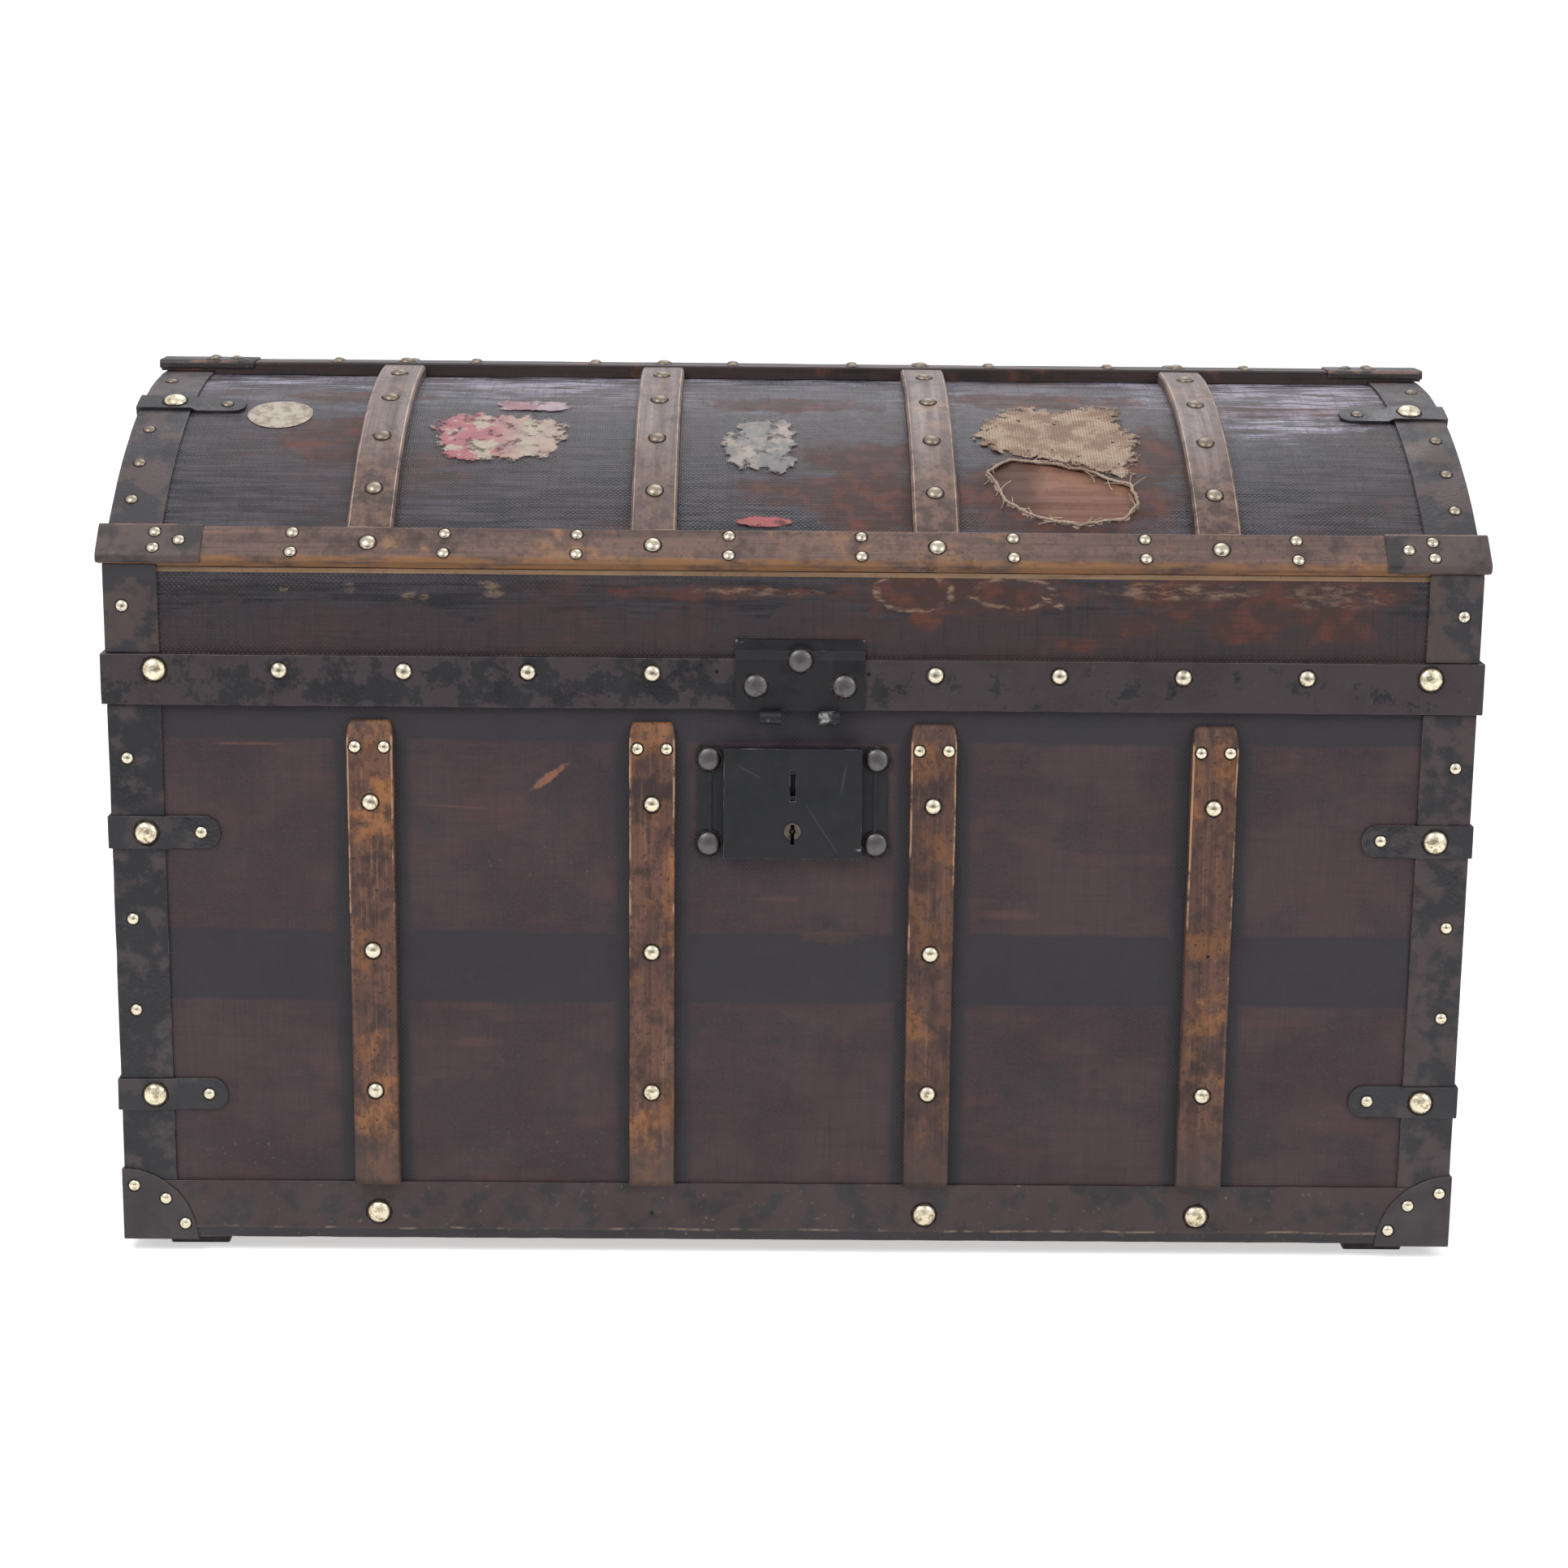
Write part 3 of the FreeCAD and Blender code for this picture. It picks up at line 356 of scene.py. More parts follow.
def mottle_group(name: str) -> bpy.types.NodeTree:
    """Patches of cloud between two levels."""
    inputs = {"Vector": NOWHERE, "Scale": 20.0, "Low": 0.45, "High": 0.6}
    board, entry = open_group(name, inputs, ("Mask",))
    patches = board.cloud(entry["Vector"], entry["Scale"], 5.0, 0.6)
    return close_group(board, {"Mask": board.slope(patches, entry["Low"], entry["High"])})


def patch_group(name: str) -> bpy.types.NodeTree:
    """One rubbed place with a ragged edge, whole or as a ring, by the way from its middle."""
    inputs = {"Vector": NOWHERE, "Away": NOWHERE, "Half": WHITE, "Ragged": 1.0}
    board, entry = open_group(name, inputs, ("Mask", "Ring"))
    share = board.vector_math("DIVIDE", entry["Away"], entry["Half"]).outputs[0]
    reach = board.vector_math("LENGTH", share).outputs["Value"]
    edge = board.plus(reach, board.wander(entry["Vector"], 55.0, entry["Ragged"], 6.0, 0.7))
    off = board.math("ABSOLUTE", board.less(edge, 0.85))
    mask, ring = board.slope(edge, 0.55, 1.0, 1.0, 0.0), board.slope(off, 0.02, 0.14, 1.0, 0.0)
    return close_group(board, {"Mask": mask, "Ring": ring})


def stripe_group(name: str) -> bpy.types.NodeTree:
    """A stripe between two levels of one coordinate."""
    inputs = {"Level": 0.0, "Low": 0.0, "High": 1.0, "Soft": 0.001}
    board, entry = open_group(name, inputs, ("Mask",))
    level, low, high, soft = entry.values()
    above = board.slope(level, low, board.plus(low, soft))
    below = board.slope(level, board.less(high, soft), high, 1.0, 0.0)
    return close_group(board, {"Mask": board.times(above, below)})


def streak_group(name: str) -> bpy.types.NodeTree:
    """Fine and broad brush streaks along the first coordinate."""
    board, entry = open_group(name, {"Vector": NOWHERE}, ("Streaks",))
    fine = board.drawn_cloud(entry["Vector"], 0.045, 520.0, 3.0, 0.6)
    broad = board.drawn_cloud(entry["Vector"], 0.1, 150.0, 4.0, 0.6)
    return close_group(board, {"Streaks": board.times(board.plus(fine, broad), 0.5)})


EFFECT_BUILDERS: dict[Effect, Callable[[str], bpy.types.NodeTree]] = {
    Effect.WEAVE: weave_group,
    Effect.GRAIN: grain_group,
    Effect.WEAR: wear_group,
    Effect.MOTTLE: mottle_group,
    Effect.PATCH: patch_group,
    Effect.STRIPE: stripe_group,
    Effect.STREAK: streak_group,
}


@dataclass(frozen=True)
class Finish:
    """A surface finish, made once as the material of that name."""

    name: str

    def material(self) -> bpy.types.Material:
        """The finish's material, built on its first use.

        Returns:
            The material.
        """
        made = bpy.data.materials.get(self.name)
        if made is None:
            made = bpy.data.materials.new(self.name)
            made.use_nodes = True
            board = Board(made.node_tree)
            board.tree.nodes.clear()
            shader = board.add("ShaderNodeBsdfPrincipled")
            board.fill(shader, self.shade(board))
            board.add("ShaderNodeOutputMaterial", {"Surface": shader.outputs["BSDF"]})
        return made

    def shade(self, board: Board) -> dict[str, Value]:
        """What feeds the shader's inputs; each kind of finish has its own way."""
        raise NotImplementedError


@dataclass(frozen=True)
class RubbedPlace:
    """A rubbed place on a flat map: middle, half sizes, strength, raggedness, turn in degrees and form."""

    centre: Pair
    half: Pair
    strength: float = 1.0
    ragged: float = 1.6
    turn: float = 0.0
    ringed: bool = False

    def mask(self, board: Board, flat: Socket) -> Socket:
        """The place's mask.

        Args:
            board: the material's board.
            flat: the flat map's coordinates.

        Returns:
            The mask, from 0 to the place's strength.
        """
        away = board.vector_math("SUBTRACT", flat, (*self.centre, 0.0)).outputs[0]
        away = board.scaled(away, WHITE, (0.0, 0.0, -math.radians(self.turn)))
        inputs = {"Vector": flat, "Away": away, "Half": (*self.half, 1.0), "Ragged": self.ragged}
        form = "Ring" if self.ringed else "Mask"
        return board.times(board.effect(Effect.PATCH, **inputs).outputs[form], self.strength)


@dataclass(frozen=True)
class WoodFinish(Finish):
    """Weathered wood: fibres, dark stains, warm worn places, pits and rubbed edges."""

    base: Colour
    dark: Colour
    warm: Colour
    bare: Colour
    fibres: Fibres
    warm_from: float = 0.52
    stain_from: float = 0.5
    striped: float = 0.5
    rubbed: float = 0.5
    roughness: float = 0.55
    specular: float = 0.4
    streaked: float = 0.2
    pitted: float = 0.6
    lined: float = 0.7
    blotched: float = 0.0
    drawn: float = 0.035
    warm_scale: float = 30.0
    warm_soft: float = 0.13
    stain_scale: float = 36.0
    stain_soft: float = 0.18
    pit_scale: float = 330.0
    blot_scale: float = 110.0
    wear_scale: float = 45.0
    relief: float = 0.0004

    def drawn_out(self, board: Board) -> Socket:
        """Coordinates drawn out along the fibres.

        Args:
            board: the material's board.

        Returns:
            The coordinates.
        """
        if self.fibres is Fibres.BENT:
            return board.scaled(board.cloth(), (1.0, self.drawn, 1.0))
        scale = tuple(self.drawn if self.fibres.value == axis else 1.0 for axis in "xyz")
        return board.scaled(board.place(), scale)

    def coloured(self, board: Board, place: Socket, fibre: Socket, figure: Socket) -> Socket:
        """The wood's colour before its edges are rubbed.

        Args:
            board: the material's board.
            place: coordinates of the piece.
            fibre: the fine fibres.
            figure: the broad figure.

        Returns:
            The colour.
        """
        colour = board.mix(board.slope(figure, 0.35, 0.7, 0.0, self.striped), self.base, self.dark)
        warm = board.mottle(place, self.warm_scale, self.warm_from, self.warm_from + self.warm_soft)
        colour = board.mix(board.times(warm, board.slope(fibre, 0.3, 0.6, 0.45, 1.0)), colour, self.warm)
        shifted = board.scaled(place, (1.3, 1.1, 0.9))
        stain_to = self.stain_from + self.stain_soft
        stain = board.mottle(shifted, self.stain_scale, self.stain_from, stain_to, 0.8)
        colour = board.mix(stain, colour, self.dark)
        colour = board.mix(board.slope(fibre, 0.3, 0.46, self.streaked, 0.0), colour, self.bare)
        lines = board.slope(fibre, 0.52, 0.7, 0.0, self.lined)
        pits = board.mottle(place, self.pit_scale, 0.58, 0.66, self.pitted)
        blots = board.mottle(shifted, self.blot_scale, 0.49, 0.62, self.blotched)
        return board.mix(board.highest(lines, pits, blots), colour, self.dark)

    def shade(self, board: Board) -> dict[str, Value]:
        """Stained, grained and rubbed wood."""
        place = board.place()
        grain = board.effect(Effect.GRAIN, Vector=self.drawn_out(board))
        fibre, figure = grain.outputs["Fibre"], grain.outputs["Figure"]
        colour = self.coloured(board, place, fibre, figure)
        return {
            "Base Color": board.mix(board.rubbed(place, self.wear_scale, self.rubbed), colour, self.bare),
            "Roughness": board.slope(figure, *MIDDLE, self.roughness - 0.1, self.roughness + 0.1),
            "Specular IOR Level": self.specular,
            "Normal": board.bump(fibre, self.relief, 0.5),
        }


@dataclass(frozen=True)
class CaseSlatFinish(WoodFinish):
    """Case slat wood, darker right of the lock; each darker slat has its sides and how much darker it is."""

    darker: tuple[Triple, ...] = ((0.06, 0.125, 0.36), (0.24, 0.31, 0.16))
    greyed: Colour = (0.07, 0.05, 0.045)
    grey_foot: float = 0.1
    grey_fade: float = 0.04
    broad_scale: float = 15.0

    def coloured(self, board: Board, place: Socket, fibre: Socket, figure: Socket) -> Socket:
        """The wood's colour, with broad stains, greyed feet and the darker slats."""
        colour = super().coloured(board, place, fibre, figure)
        across, _, up = board.split(place)
        broad = board.slope(board.cloud(place, self.broad_scale, 4.0), 0.46, 0.6, 0.0, 0.45)
        colour = board.mix(board.times(broad, board.slope(fibre, 0.3, 0.6, 0.6, 1.0)), colour, self.dark)
        foot = board.slope(up, self.grey_foot - self.grey_fade, self.grey_foot, 0.7, 0.0)
        colour = board.mix(foot, colour, self.greyed)
        for low, high, share in self.darker:
            colour = board.mix(board.times(board.stripe(across, low, high, 0.01), share), colour, self.dark)
        return colour


@dataclass(frozen=True)
class BattenFinish(WoodFinish):
    """Batten wood whose rounded nose, which lies low, is rubbed to a warm gold brown and lightened further as
    a painted highlight.
    """

    # worn gold brown, lighter than the wear alone: a painted highlight on the down-turned nose
    golden_wear_and_highlight: Colour = (0.3, 0.143, 0.054)
    nose_foot: float = 0.4715
    nose_top: float = 0.4745

    def coloured(self, board: Board, place: Socket, fibre: Socket, figure: Socket) -> Socket:
        """The wood's colour, with the nose's wear and painted highlight."""
        colour = super().coloured(board, place, fibre, figure)
        height = board.plus(board.split(place)[2], board.wander(place, 60.0, 0.004))
        nose = board.slope(height, self.nose_foot, self.nose_top, 1.0, 0.0)
        patches = board.drawn_cloud(place, 0.35, 55.0, 5.0, 0.65)
        nose = board.times(nose, board.slope(patches, 0.38, 0.56))
        # the nose: worn and painted lighter
        return board.mix(board.times(nose, board.slope(fibre, 0.3, 0.7, 1.0, 0.6)), colour, self.golden_wear_and_highlight)


@dataclass(frozen=True)
class BentSlatFinish(WoodFinish):
    """Dome slat wood, greyed near the crest and darker brown towards the dome's edges, less on one slat."""

    brown: Colour = (0.05, 0.03, 0.026)
    tan: Colour = (0.16, 0.09, 0.064)
    grey_until: float = 0.12
    brown_from: float = 0.22
    paler: Pair = (-0.13, -0.05)

    def coloured(self, board: Board, place: Socket, fibre: Socket, figure: Socket) -> Socket:
        """The wood's colour, with the brown feet."""
        colour = super().coloured(board, place, fibre, figure)
        way = board.math("ABSOLUTE", board.split(board.cloth())[1])
        way = board.plus(way, board.wander(place, 24.0, 0.12))
        foot = board.slope(way, self.grey_until, self.brown_from, 0.0, 0.85)
        pale = board.stripe(board.split(place)[0], *self.paler, 0.01)
        foot = board.times(foot, board.slope(pale, 0.0, 1.0, 1.0, 0.5))
        blots = board.slope(board.cloud(place, 90.0, 5.0, 0.65), 0.4, 0.6)
        return board.mix(foot, colour, board.mix(blots, self.brown, self.tan))


@dataclass(frozen=True)
class StaveFinish(WoodFinish):
    """Stave wood that darkens under the left end of the torn hole."""

    dark_until: float = 0.15
    light_from: float = 0.172

    def coloured(self, board: Board, place: Socket, fibre: Socket, figure: Socket) -> Socket:
        """The wood's colour, with the dark end."""
        colour = super().coloured(board, place, fibre, figure)
        shade = board.slope(board.split(place)[0], self.dark_until, self.light_from, 0.75, 0.0)
        return board.mix(shade, colour, self.dark)


@dataclass(frozen=True)
class LeatherFinish(Finish):
    """Old leather: pebbled, worn from black down to brown in patches, rubbed on its edges."""

    black: Colour
    brown: Colour
    rubbed: Colour
    reach: float = 0.3
    brown_from: float = 0.5
    crisp: float = 0.1
    scale: float = 40.0
    roughness: float = 0.5
    speck_scale: float = 260.0
    wear_scale: float = 60.0
    pebble_scale: float = 420.0
    crease_scale: float = 110.0
    gloss_scale: float = 34.0
    relief: float = 0.0004

    def browning(self, board: Board, place: Socket) -> Socket:
        """How brown the leather is, from 0 to 1."""
        return board.mottle(place, self.scale, self.brown_from, self.brown_from + self.crisp)

    def fraying(self, board: Board, place: Socket) -> Value:
        """How frayed the leather is, from 0 to 1; plain leather isn't."""
        return 0.0

    def shade(self, board: Board) -> dict[str, Value]:
        """Mottled, pebbled and rubbed leather."""
        place = board.place()
        colour = board.mix(self.browning(board, place), self.black, self.brown)
        specks = board.mottle(place, self.speck_scale, 0.62, 0.74, 0.35)
        colour = board.mix(specks, colour, self.rubbed)
        worn = board.highest(board.rubbed(place, self.wear_scale, self.reach), self.fraying(board, place))
        pebbles = board.add("ShaderNodeTexVoronoi", {"Vector": place, "Scale": self.pebble_scale})
        creases = board.plus(pebbles.outputs["Distance"], board.cloud(place, self.crease_scale, 4.0))
        gloss = (self.roughness - 0.1, self.roughness + 0.15)
        return {
            "Base Color": board.mix(worn, colour, self.rubbed),
            "Roughness": board.drift(place, self.gloss_scale, *gloss),
            "Normal": board.bump(creases, self.relief, 0.45),
        }


@dataclass(frozen=True)
class FloorEdgeFinish(LeatherFinish):
    """The floor edges' leather, with a pale frayed line near its foot and dark board below that line."""

    line: float = 0.0172
    half_line: float = 0.0012

    def browning(self, board: Board, place: Socket) -> Socket:
        """How brown the leather is: not at all below the line."""
        above = board.slope(board.split(place)[2], self.line - 0.001, self.line)
        return board.times(super().browning(board, place), above)

    def fraying(self, board: Board, place: Socket) -> Socket:
        """The frayed line, broken along its length."""
        height = board.plus(board.split(place)[2], board.wander(place, 20.0, 0.004))
        line = board.stripe(height, self.line - self.half_line, self.line + self.half_line, self.half_line)
        return board.times(line, board.slope(board.cloud(place, 70.0, 4.0), 0.48, 0.62, 0.05, 0.7))


@dataclass(frozen=True)
class CapFinish(LeatherFinish):
    """The battens' end caps: brown low on the lid, black at the crest."""

    black_from: float = 0.53

    def browning(self, board: Board, place: Socket) -> Socket:
        """How brown the leather is, by its height."""
        low = board.slope(board.split(place)[2], self.black_from, self.black_from + 0.02, 1.0, 0.0)
        return board.times(super().browning(board, place), low)


@dataclass(frozen=True)
class RimBandFinish(LeatherFinish):
    """The lid's rim band: black blotches along the middle of its left half, plainer on its right."""

    middle: float = 0.389
    half: float = 0.017

    def browning(self, board: Board, place: Socket) -> Socket:
        """Brown leather between black blotches that thin out to the right and to both edges."""
        along, _, up = board.split(place)
        off = board.math("DIVIDE", board.math("ABSOLUTE", board.less(up, self.middle)), self.half)
        level = board.plus(board.cloud(place, self.scale, 7.0, 0.68), board.times(off, 0.1))
        level = board.plus(level, board.slope(along, -0.1, 0.2, 0.0, 0.1))
        return board.slope(level, self.brown_from, self.brown_from + self.crisp)


@dataclass(frozen=True)
class CaseCanvasFinish(Finish):
    """The case's painted canvas: dark painted bands round the middle and under the rim, and painted shade
    beside the slats.
    """

    paint: Colour
    faded: Colour
    # the dark paint; it also colours the painted shade beside the slats and between the threads
    stripe: Colour
    dust: Colour
    raw: Colour
    slats: tuple[float, ...]
    slat_shade_half: float
    belt: Pair
    rim_from: float
    scratches: tuple[RubbedPlace, ...]
    scuffs: tuple[RubbedPlace, ...]
    flushed: Colour = (0.094, 0.042, 0.043)
    pitch: float = 0.0016
    front: Pair = (-0.24, -0.2)
    cloud_scale: float = 11.0
    flush_scale: float = 34.0
    smudge_scale: float = 19.0
    fleck_scale: float = 480.0
    chafe_scale: float = 75.0
    dot_scale: float = 300.0
    speck_scale: float = 240.0
    gloss_scale: float = 30.0
    relief: float = 0.0003

    def stripes_and_slat_shade(self, board: Board, place: Socket) -> Socket:
        """Where the dark bands are: the painted belt and rim band, and the painted shade beside each slat.

        Args:
            board: the material's board.
            place: coordinates of the piece.

        Returns:
            The bands' mask.
        """
        wander = board.wander(place, 14.0, 0.006)
        across, _, up = board.split(place)
        across, up = board.plus(across, wander), board.plus(up, wander)
        masks = [board.stripe(up, *self.belt, 0.003), board.stripe(up, self.rim_from, 1.0, 0.003)]
        # a band of painted shade at each slat, reaching past both its sides
        for slat in self.slats:
            masks.append(board.stripe(across, slat - self.slat_shade_half, slat + self.slat_shade_half, 0.006))
        return board.highest(*masks)

    def painted(self, board: Board, place: Socket, cloth: Socket, threads: list[Socket]) -> Socket:
        """The paint: clouded, flushed, smudged, darker along its threads and striped.

        Args:
            board: the material's board.
            place: coordinates of the piece.
            cloth: coordinates along the cloth.
            threads: the streaks of both ways of threads.

        Returns:
            The colour.
        """
        colour = board.mix(board.mottle(place, self.cloud_scale, 0.4, 0.6), self.paint, self.faded)
        flush = board.drawn_cloud(cloth, 0.35, self.flush_scale, 6.0, 0.65)
        colour = board.mix(board.slope(flush, 0.5, 0.66, 0.0, 0.6), colour, self.flushed)
        smudges = board.cloud(board.scaled(place, (0.8, 0.8, 1.2)), self.smudge_scale, 6.0, 0.62)
        colour = board.mix(board.slope(smudges, 0.5, 0.66, 0.0, 0.6), colour, self.stripe)
        for streaks in threads:
            colour = board.mix(board.slope(streaks, 0.46, 0.62, 0.0, 0.32), colour, self.stripe)
        colour = board.mix(board.mottle(cloth, self.fleck_scale, 0.48, 0.62, 0.45), colour, self.faded)
        # the dark bands: painted belt and rim band, and painted shade beside the slats
        colour = board.mix(board.times(self.stripes_and_slat_shade(board, place), 0.85), colour, self.stripe)
        return board.mix(board.mottle(cloth, self.chafe_scale, 0.6, 0.78, 0.25), colour, self.faded)

    def shade(self, board: Board) -> dict[str, Value]:
        """Painted, striped and chafed canvas."""
        place = board.place()
        across, deep, up = board.split(place)
        round_case = board.plus(across, deep)
        cloth = board.join(round_case, up, 0.0)
        threads = [board.streaks(cloth), board.streaks(board.join(up, round_case, 0.0))]
        colour = self.painted(board, place, cloth, threads)
        front = board.slope(deep, *self.front, 1.0, 0.0)
        flat = board.join(across, up, 0.0)
        dots = board.slope(board.cloud(flat, self.dot_scale, 2.0), 0.64, 0.72)
        fibrous = board.slope(threads[-1], 0.36, 0.5, 0.35, 1.0)
        for places, broken, tint in ((self.scuffs, dots, self.dust), (self.scratches, fibrous, self.raw)):
            marks = board.times(board.marked(places, flat), broken)
            colour = board.mix(board.times(marks, front), colour, tint)
        colour = board.mix(board.mottle(cloth, self.speck_scale, 0.7, 0.76, 0.3), colour, self.dust)
        weave = board.weave(cloth, self.pitch)
        return {
            # the weave's low places take the dark paint colour: painted shade between the threads
            "Base Color": board.mix(board.slope(weave, 0.0, 0.6, 0.3, 0.0), colour, self.stripe),
            "Roughness": board.drift(place, self.gloss_scale, 0.5, 0.66),
            "Specular IOR Level": 0.4,
            "Normal": board.bump(weave, self.relief, 0.6),
        }


@dataclass(frozen=True)
class LidCanvasFinish(Finish):
    """The lid's painted canvas: brushed lengthwise, glossy, rubbed brown in places and low on its walls, with
    dust and painted sheen by the crest.
    """

    paint: Colour
    grey: Colour
    wall: Colour
    rubbed: Colour
    rust: Colour
    scuffed: Colour
    raw: Colour
    wall_from: float
    strip: float
    places: tuple[RubbedPlace, ...]
    scuffs: tuple[RubbedPlace, ...]
    # places of pale dust and painted sheen, and places kept clear of both
    dust_and_sheen: tuple[RubbedPlace, ...]
    clear_of_dust_and_sheen: tuple[RubbedPlace, ...]
    # pale bluish colour of dust and of the painted sheen
    dust: Colour = (0.335, 0.318, 0.39)
    crest_sheen_until: float = 0.125
    pitch: float = 0.0016
    dust_scale: float = 34.0
    haze_scale: float = 9.0
    tint_scale: float = 60.0
    scuff_scale: float = 250.0
    tear_scale: float = 190.0
    relief: float = 0.0004

    def dust_and_sheen_mask(self, board: Board, cloth: Socket, way: Socket) -> Socket:
        """Where dust and painted sheen lie: near the crest and in their places, but not in the places kept
        clear of them.

        Args:
            board: the material's board.
            cloth: the canvas's own map.
            way: the way from the crest.

        Returns:
            The mask of dust and painted sheen.
        """
        # pale dust and painted sheen, fading away from the crest
        crest = board.slope(way, self.crest_sheen_until * 0.4, self.crest_sheen_until, 0.9, 0.0)
        dust_and_sheen = board.highest(crest, board.marked(self.dust_and_sheen, cloth))
        dust_and_sheen = board.times(dust_and_sheen, board.less(1.0, board.marked(self.clear_of_dust_and_sheen, cloth)))
        broken = board.drawn_cloud(cloth, 0.4, self.dust_scale, 5.0, 0.62)
        return board.times(dust_and_sheen, board.slope(broken, 0.4, 0.58, 0.2, 1.0))

    def painted(self, board: Board, cloth: Socket, streaks: Socket) -> Socket:
        """The paint: black with grey streaks, and brown low on the walls with black blotches.

        Args:
            board: the material's board.
            cloth: the canvas's own map.
            streaks: the brush streaks.

        Returns:
            The colour.
        """
        colour = board.mix(board.slope(streaks, 0.42, 0.6), self.paint, self.grey)
        way = board.math("ABSOLUTE", board.split(cloth)[1])
        dust_and_sheen = self.dust_and_sheen_mask(board, cloth, way)
        # pale dust and painted sheen along the brush streaks
        colour = board.mix(board.times(dust_and_sheen, board.slope(streaks, 0.44, 0.57)), colour, self.dust)
        strip = self.wall_from - self.strip
        colour = board.mix(board.slope(way, strip - 0.002, strip, 0.0, 0.5), colour, self.paint)
        down = board.plus(way, board.wander(cloth, 26.0, 0.05, 4.0, 0.65))
        low = board.slope(down, self.wall_from - 0.003, self.wall_from + 0.003)
        even = board.mix(board.slope(streaks, 0.4, 0.65, 0.0, 0.5), self.wall, self.paint)
        return board.mix(board.times(low, 0.9), colour, even)

    def shade(self, board: Board) -> dict[str, Value]:
        """Brushed and rubbed paint over canvas."""
        cloth = board.cloth()
        streaks = board.streaks(cloth)
        across, along, _ = board.split(cloth)
        threads = board.streaks(board.join(along, across, 0.0))
        colour = self.painted(board, cloth, streaks)
        colour = board.mix(board.slope(threads, 0.48, 0.62, 0.0, 0.4), colour, self.paint)
        haze = board.mottle(cloth, self.haze_scale, 0.42, 0.66, 0.35)
        rubbing = board.highest(board.marked(self.places, cloth), haze)
        rubbing = board.times(rubbing, board.slope(streaks, 0.4, 0.58, 1.0, 0.6))
        rusty = board.slope(board.cloud(cloth, self.tint_scale, 4.0), 0.45, 0.65)
        colour = board.mix(rubbing, colour, board.mix(rusty, self.rubbed, self.rust))
        broken = board.drawn_cloud(cloth, 0.3, self.scuff_scale, 5.0, 0.65)
        scuffs = board.times(board.marked(self.scuffs, cloth), board.slope(broken, 0.44, 0.62))
        colour = board.mix(scuffs, colour, self.scuffed)
        height = board.plus(board.weave(cloth, self.pitch), board.times(streaks, 2.0))
        return {
            "Base Color": board.mix(board.rubbed(cloth, self.tear_scale, 0.6), colour, self.raw),
            "Roughness": board.plus(board.slope(streaks, 0.35, 0.65, 0.3, 0.5), board.times(rubbing, 0.3)),
            "Specular IOR Level": 0.36,
            "Normal": board.bump(height, self.relief, 0.6),
        }


@dataclass(frozen=True)
class ClothFinish(Finish):
    """Plain unpainted cloth with stains, for the lining, the torn canvas and loose strands."""

    base: Colour
    stain: Colour
    shadow: Colour
    pitch: float = 0.0016
    stain_from: float = 0.45
    mapped: bool = True
    stain_scale: float = 32.0
    torn: bool = False
    fray_scale: float = 150.0
    hole_scale: float = 160.0
    relief: float = 0.0005

    def shade(self, board: Board) -> dict[str, Value]:
        """Woven, stained cloth."""
        place = board.place()
        if self.mapped:
            cloth = board.cloth()
        else:
            across, deep, up = board.split(place)
            cloth = board.join(board.plus(across, deep), board.plus(up, deep), 0.0)
        weave = board.weave(cloth, self.pitch)
        stains = board.mottle(place, self.stain_scale, self.stain_from, self.stain_from + 0.2)
        colour = board.mix(stains, self.base, self.stain)
        fed = {
            "Base Color": board.mix(board.slope(weave, 0.0, 0.55, 0.7, 0.0), colour, self.shadow),
            "Roughness": board.slope(weave, 0.0, 1.0, 0.95, 0.8),
            "Specular IOR Level": 0.2,
            "Normal": board.bump(weave, self.relief, 0.9),
        }
        if self.torn:
            holes = board.mottle(cloth, self.hole_scale, 0.63, 0.67)
            gone = board.highest(board.rubbed(cloth, self.fray_scale, 0.35), holes)
            fed["Alpha"] = board.less(1.0, gone)
        return fed


@dataclass(frozen=True)
class PaperFinish(Finish):
    """Remnant paper: a plain ground, patches of another tint, stronger on its left, and rubbed fibres."""

    ground: Colour
    tint: Colour
    dirt: Colour
    tint_from: float = 0.5
    scale: float = 45.0
    lean: float = 1.0
    thin_from: float = 0.53
    dirt_scale: float = 110.0
    thin_scale: float = 95.0
    gloss_scale: float = 90.0
    relief_scale: float = 240.0
    relief: float = 0.0003

    def shade(self, board: Board) -> dict[str, Value]:
        """Patchy, dirty paper."""
        cloth = board.cloth()
        tinted = board.mottle(cloth, self.scale, self.tint_from, self.tint_from + 0.08)
        left = board.slope(board.split(cloth)[0], self.lean - 0.015, self.lean + 0.015, 1.0, 0.25)
        colour = board.mix(board.times(tinted, left), self.ground, self.tint)
        dirty = board.mottle(cloth, self.dirt_scale, 0.5, 0.68, 0.6)
        thin = board.mottle(cloth, self.thin_scale, self.thin_from, self.thin_from + 0.12, 0.8)
        gone = board.highest(board.rubbed(cloth, self.thin_scale, 0.5), thin)
        return {
            "Base Color": board.mix(dirty, colour, self.dirt),
            "Alpha": board.less(1.0, gone),
            "Roughness": board.drift(cloth, self.gloss_scale, 0.55, 0.8),
            "Normal": board.bump(board.cloud(cloth, self.relief_scale, 4.0), self.relief, 0.6),
        }


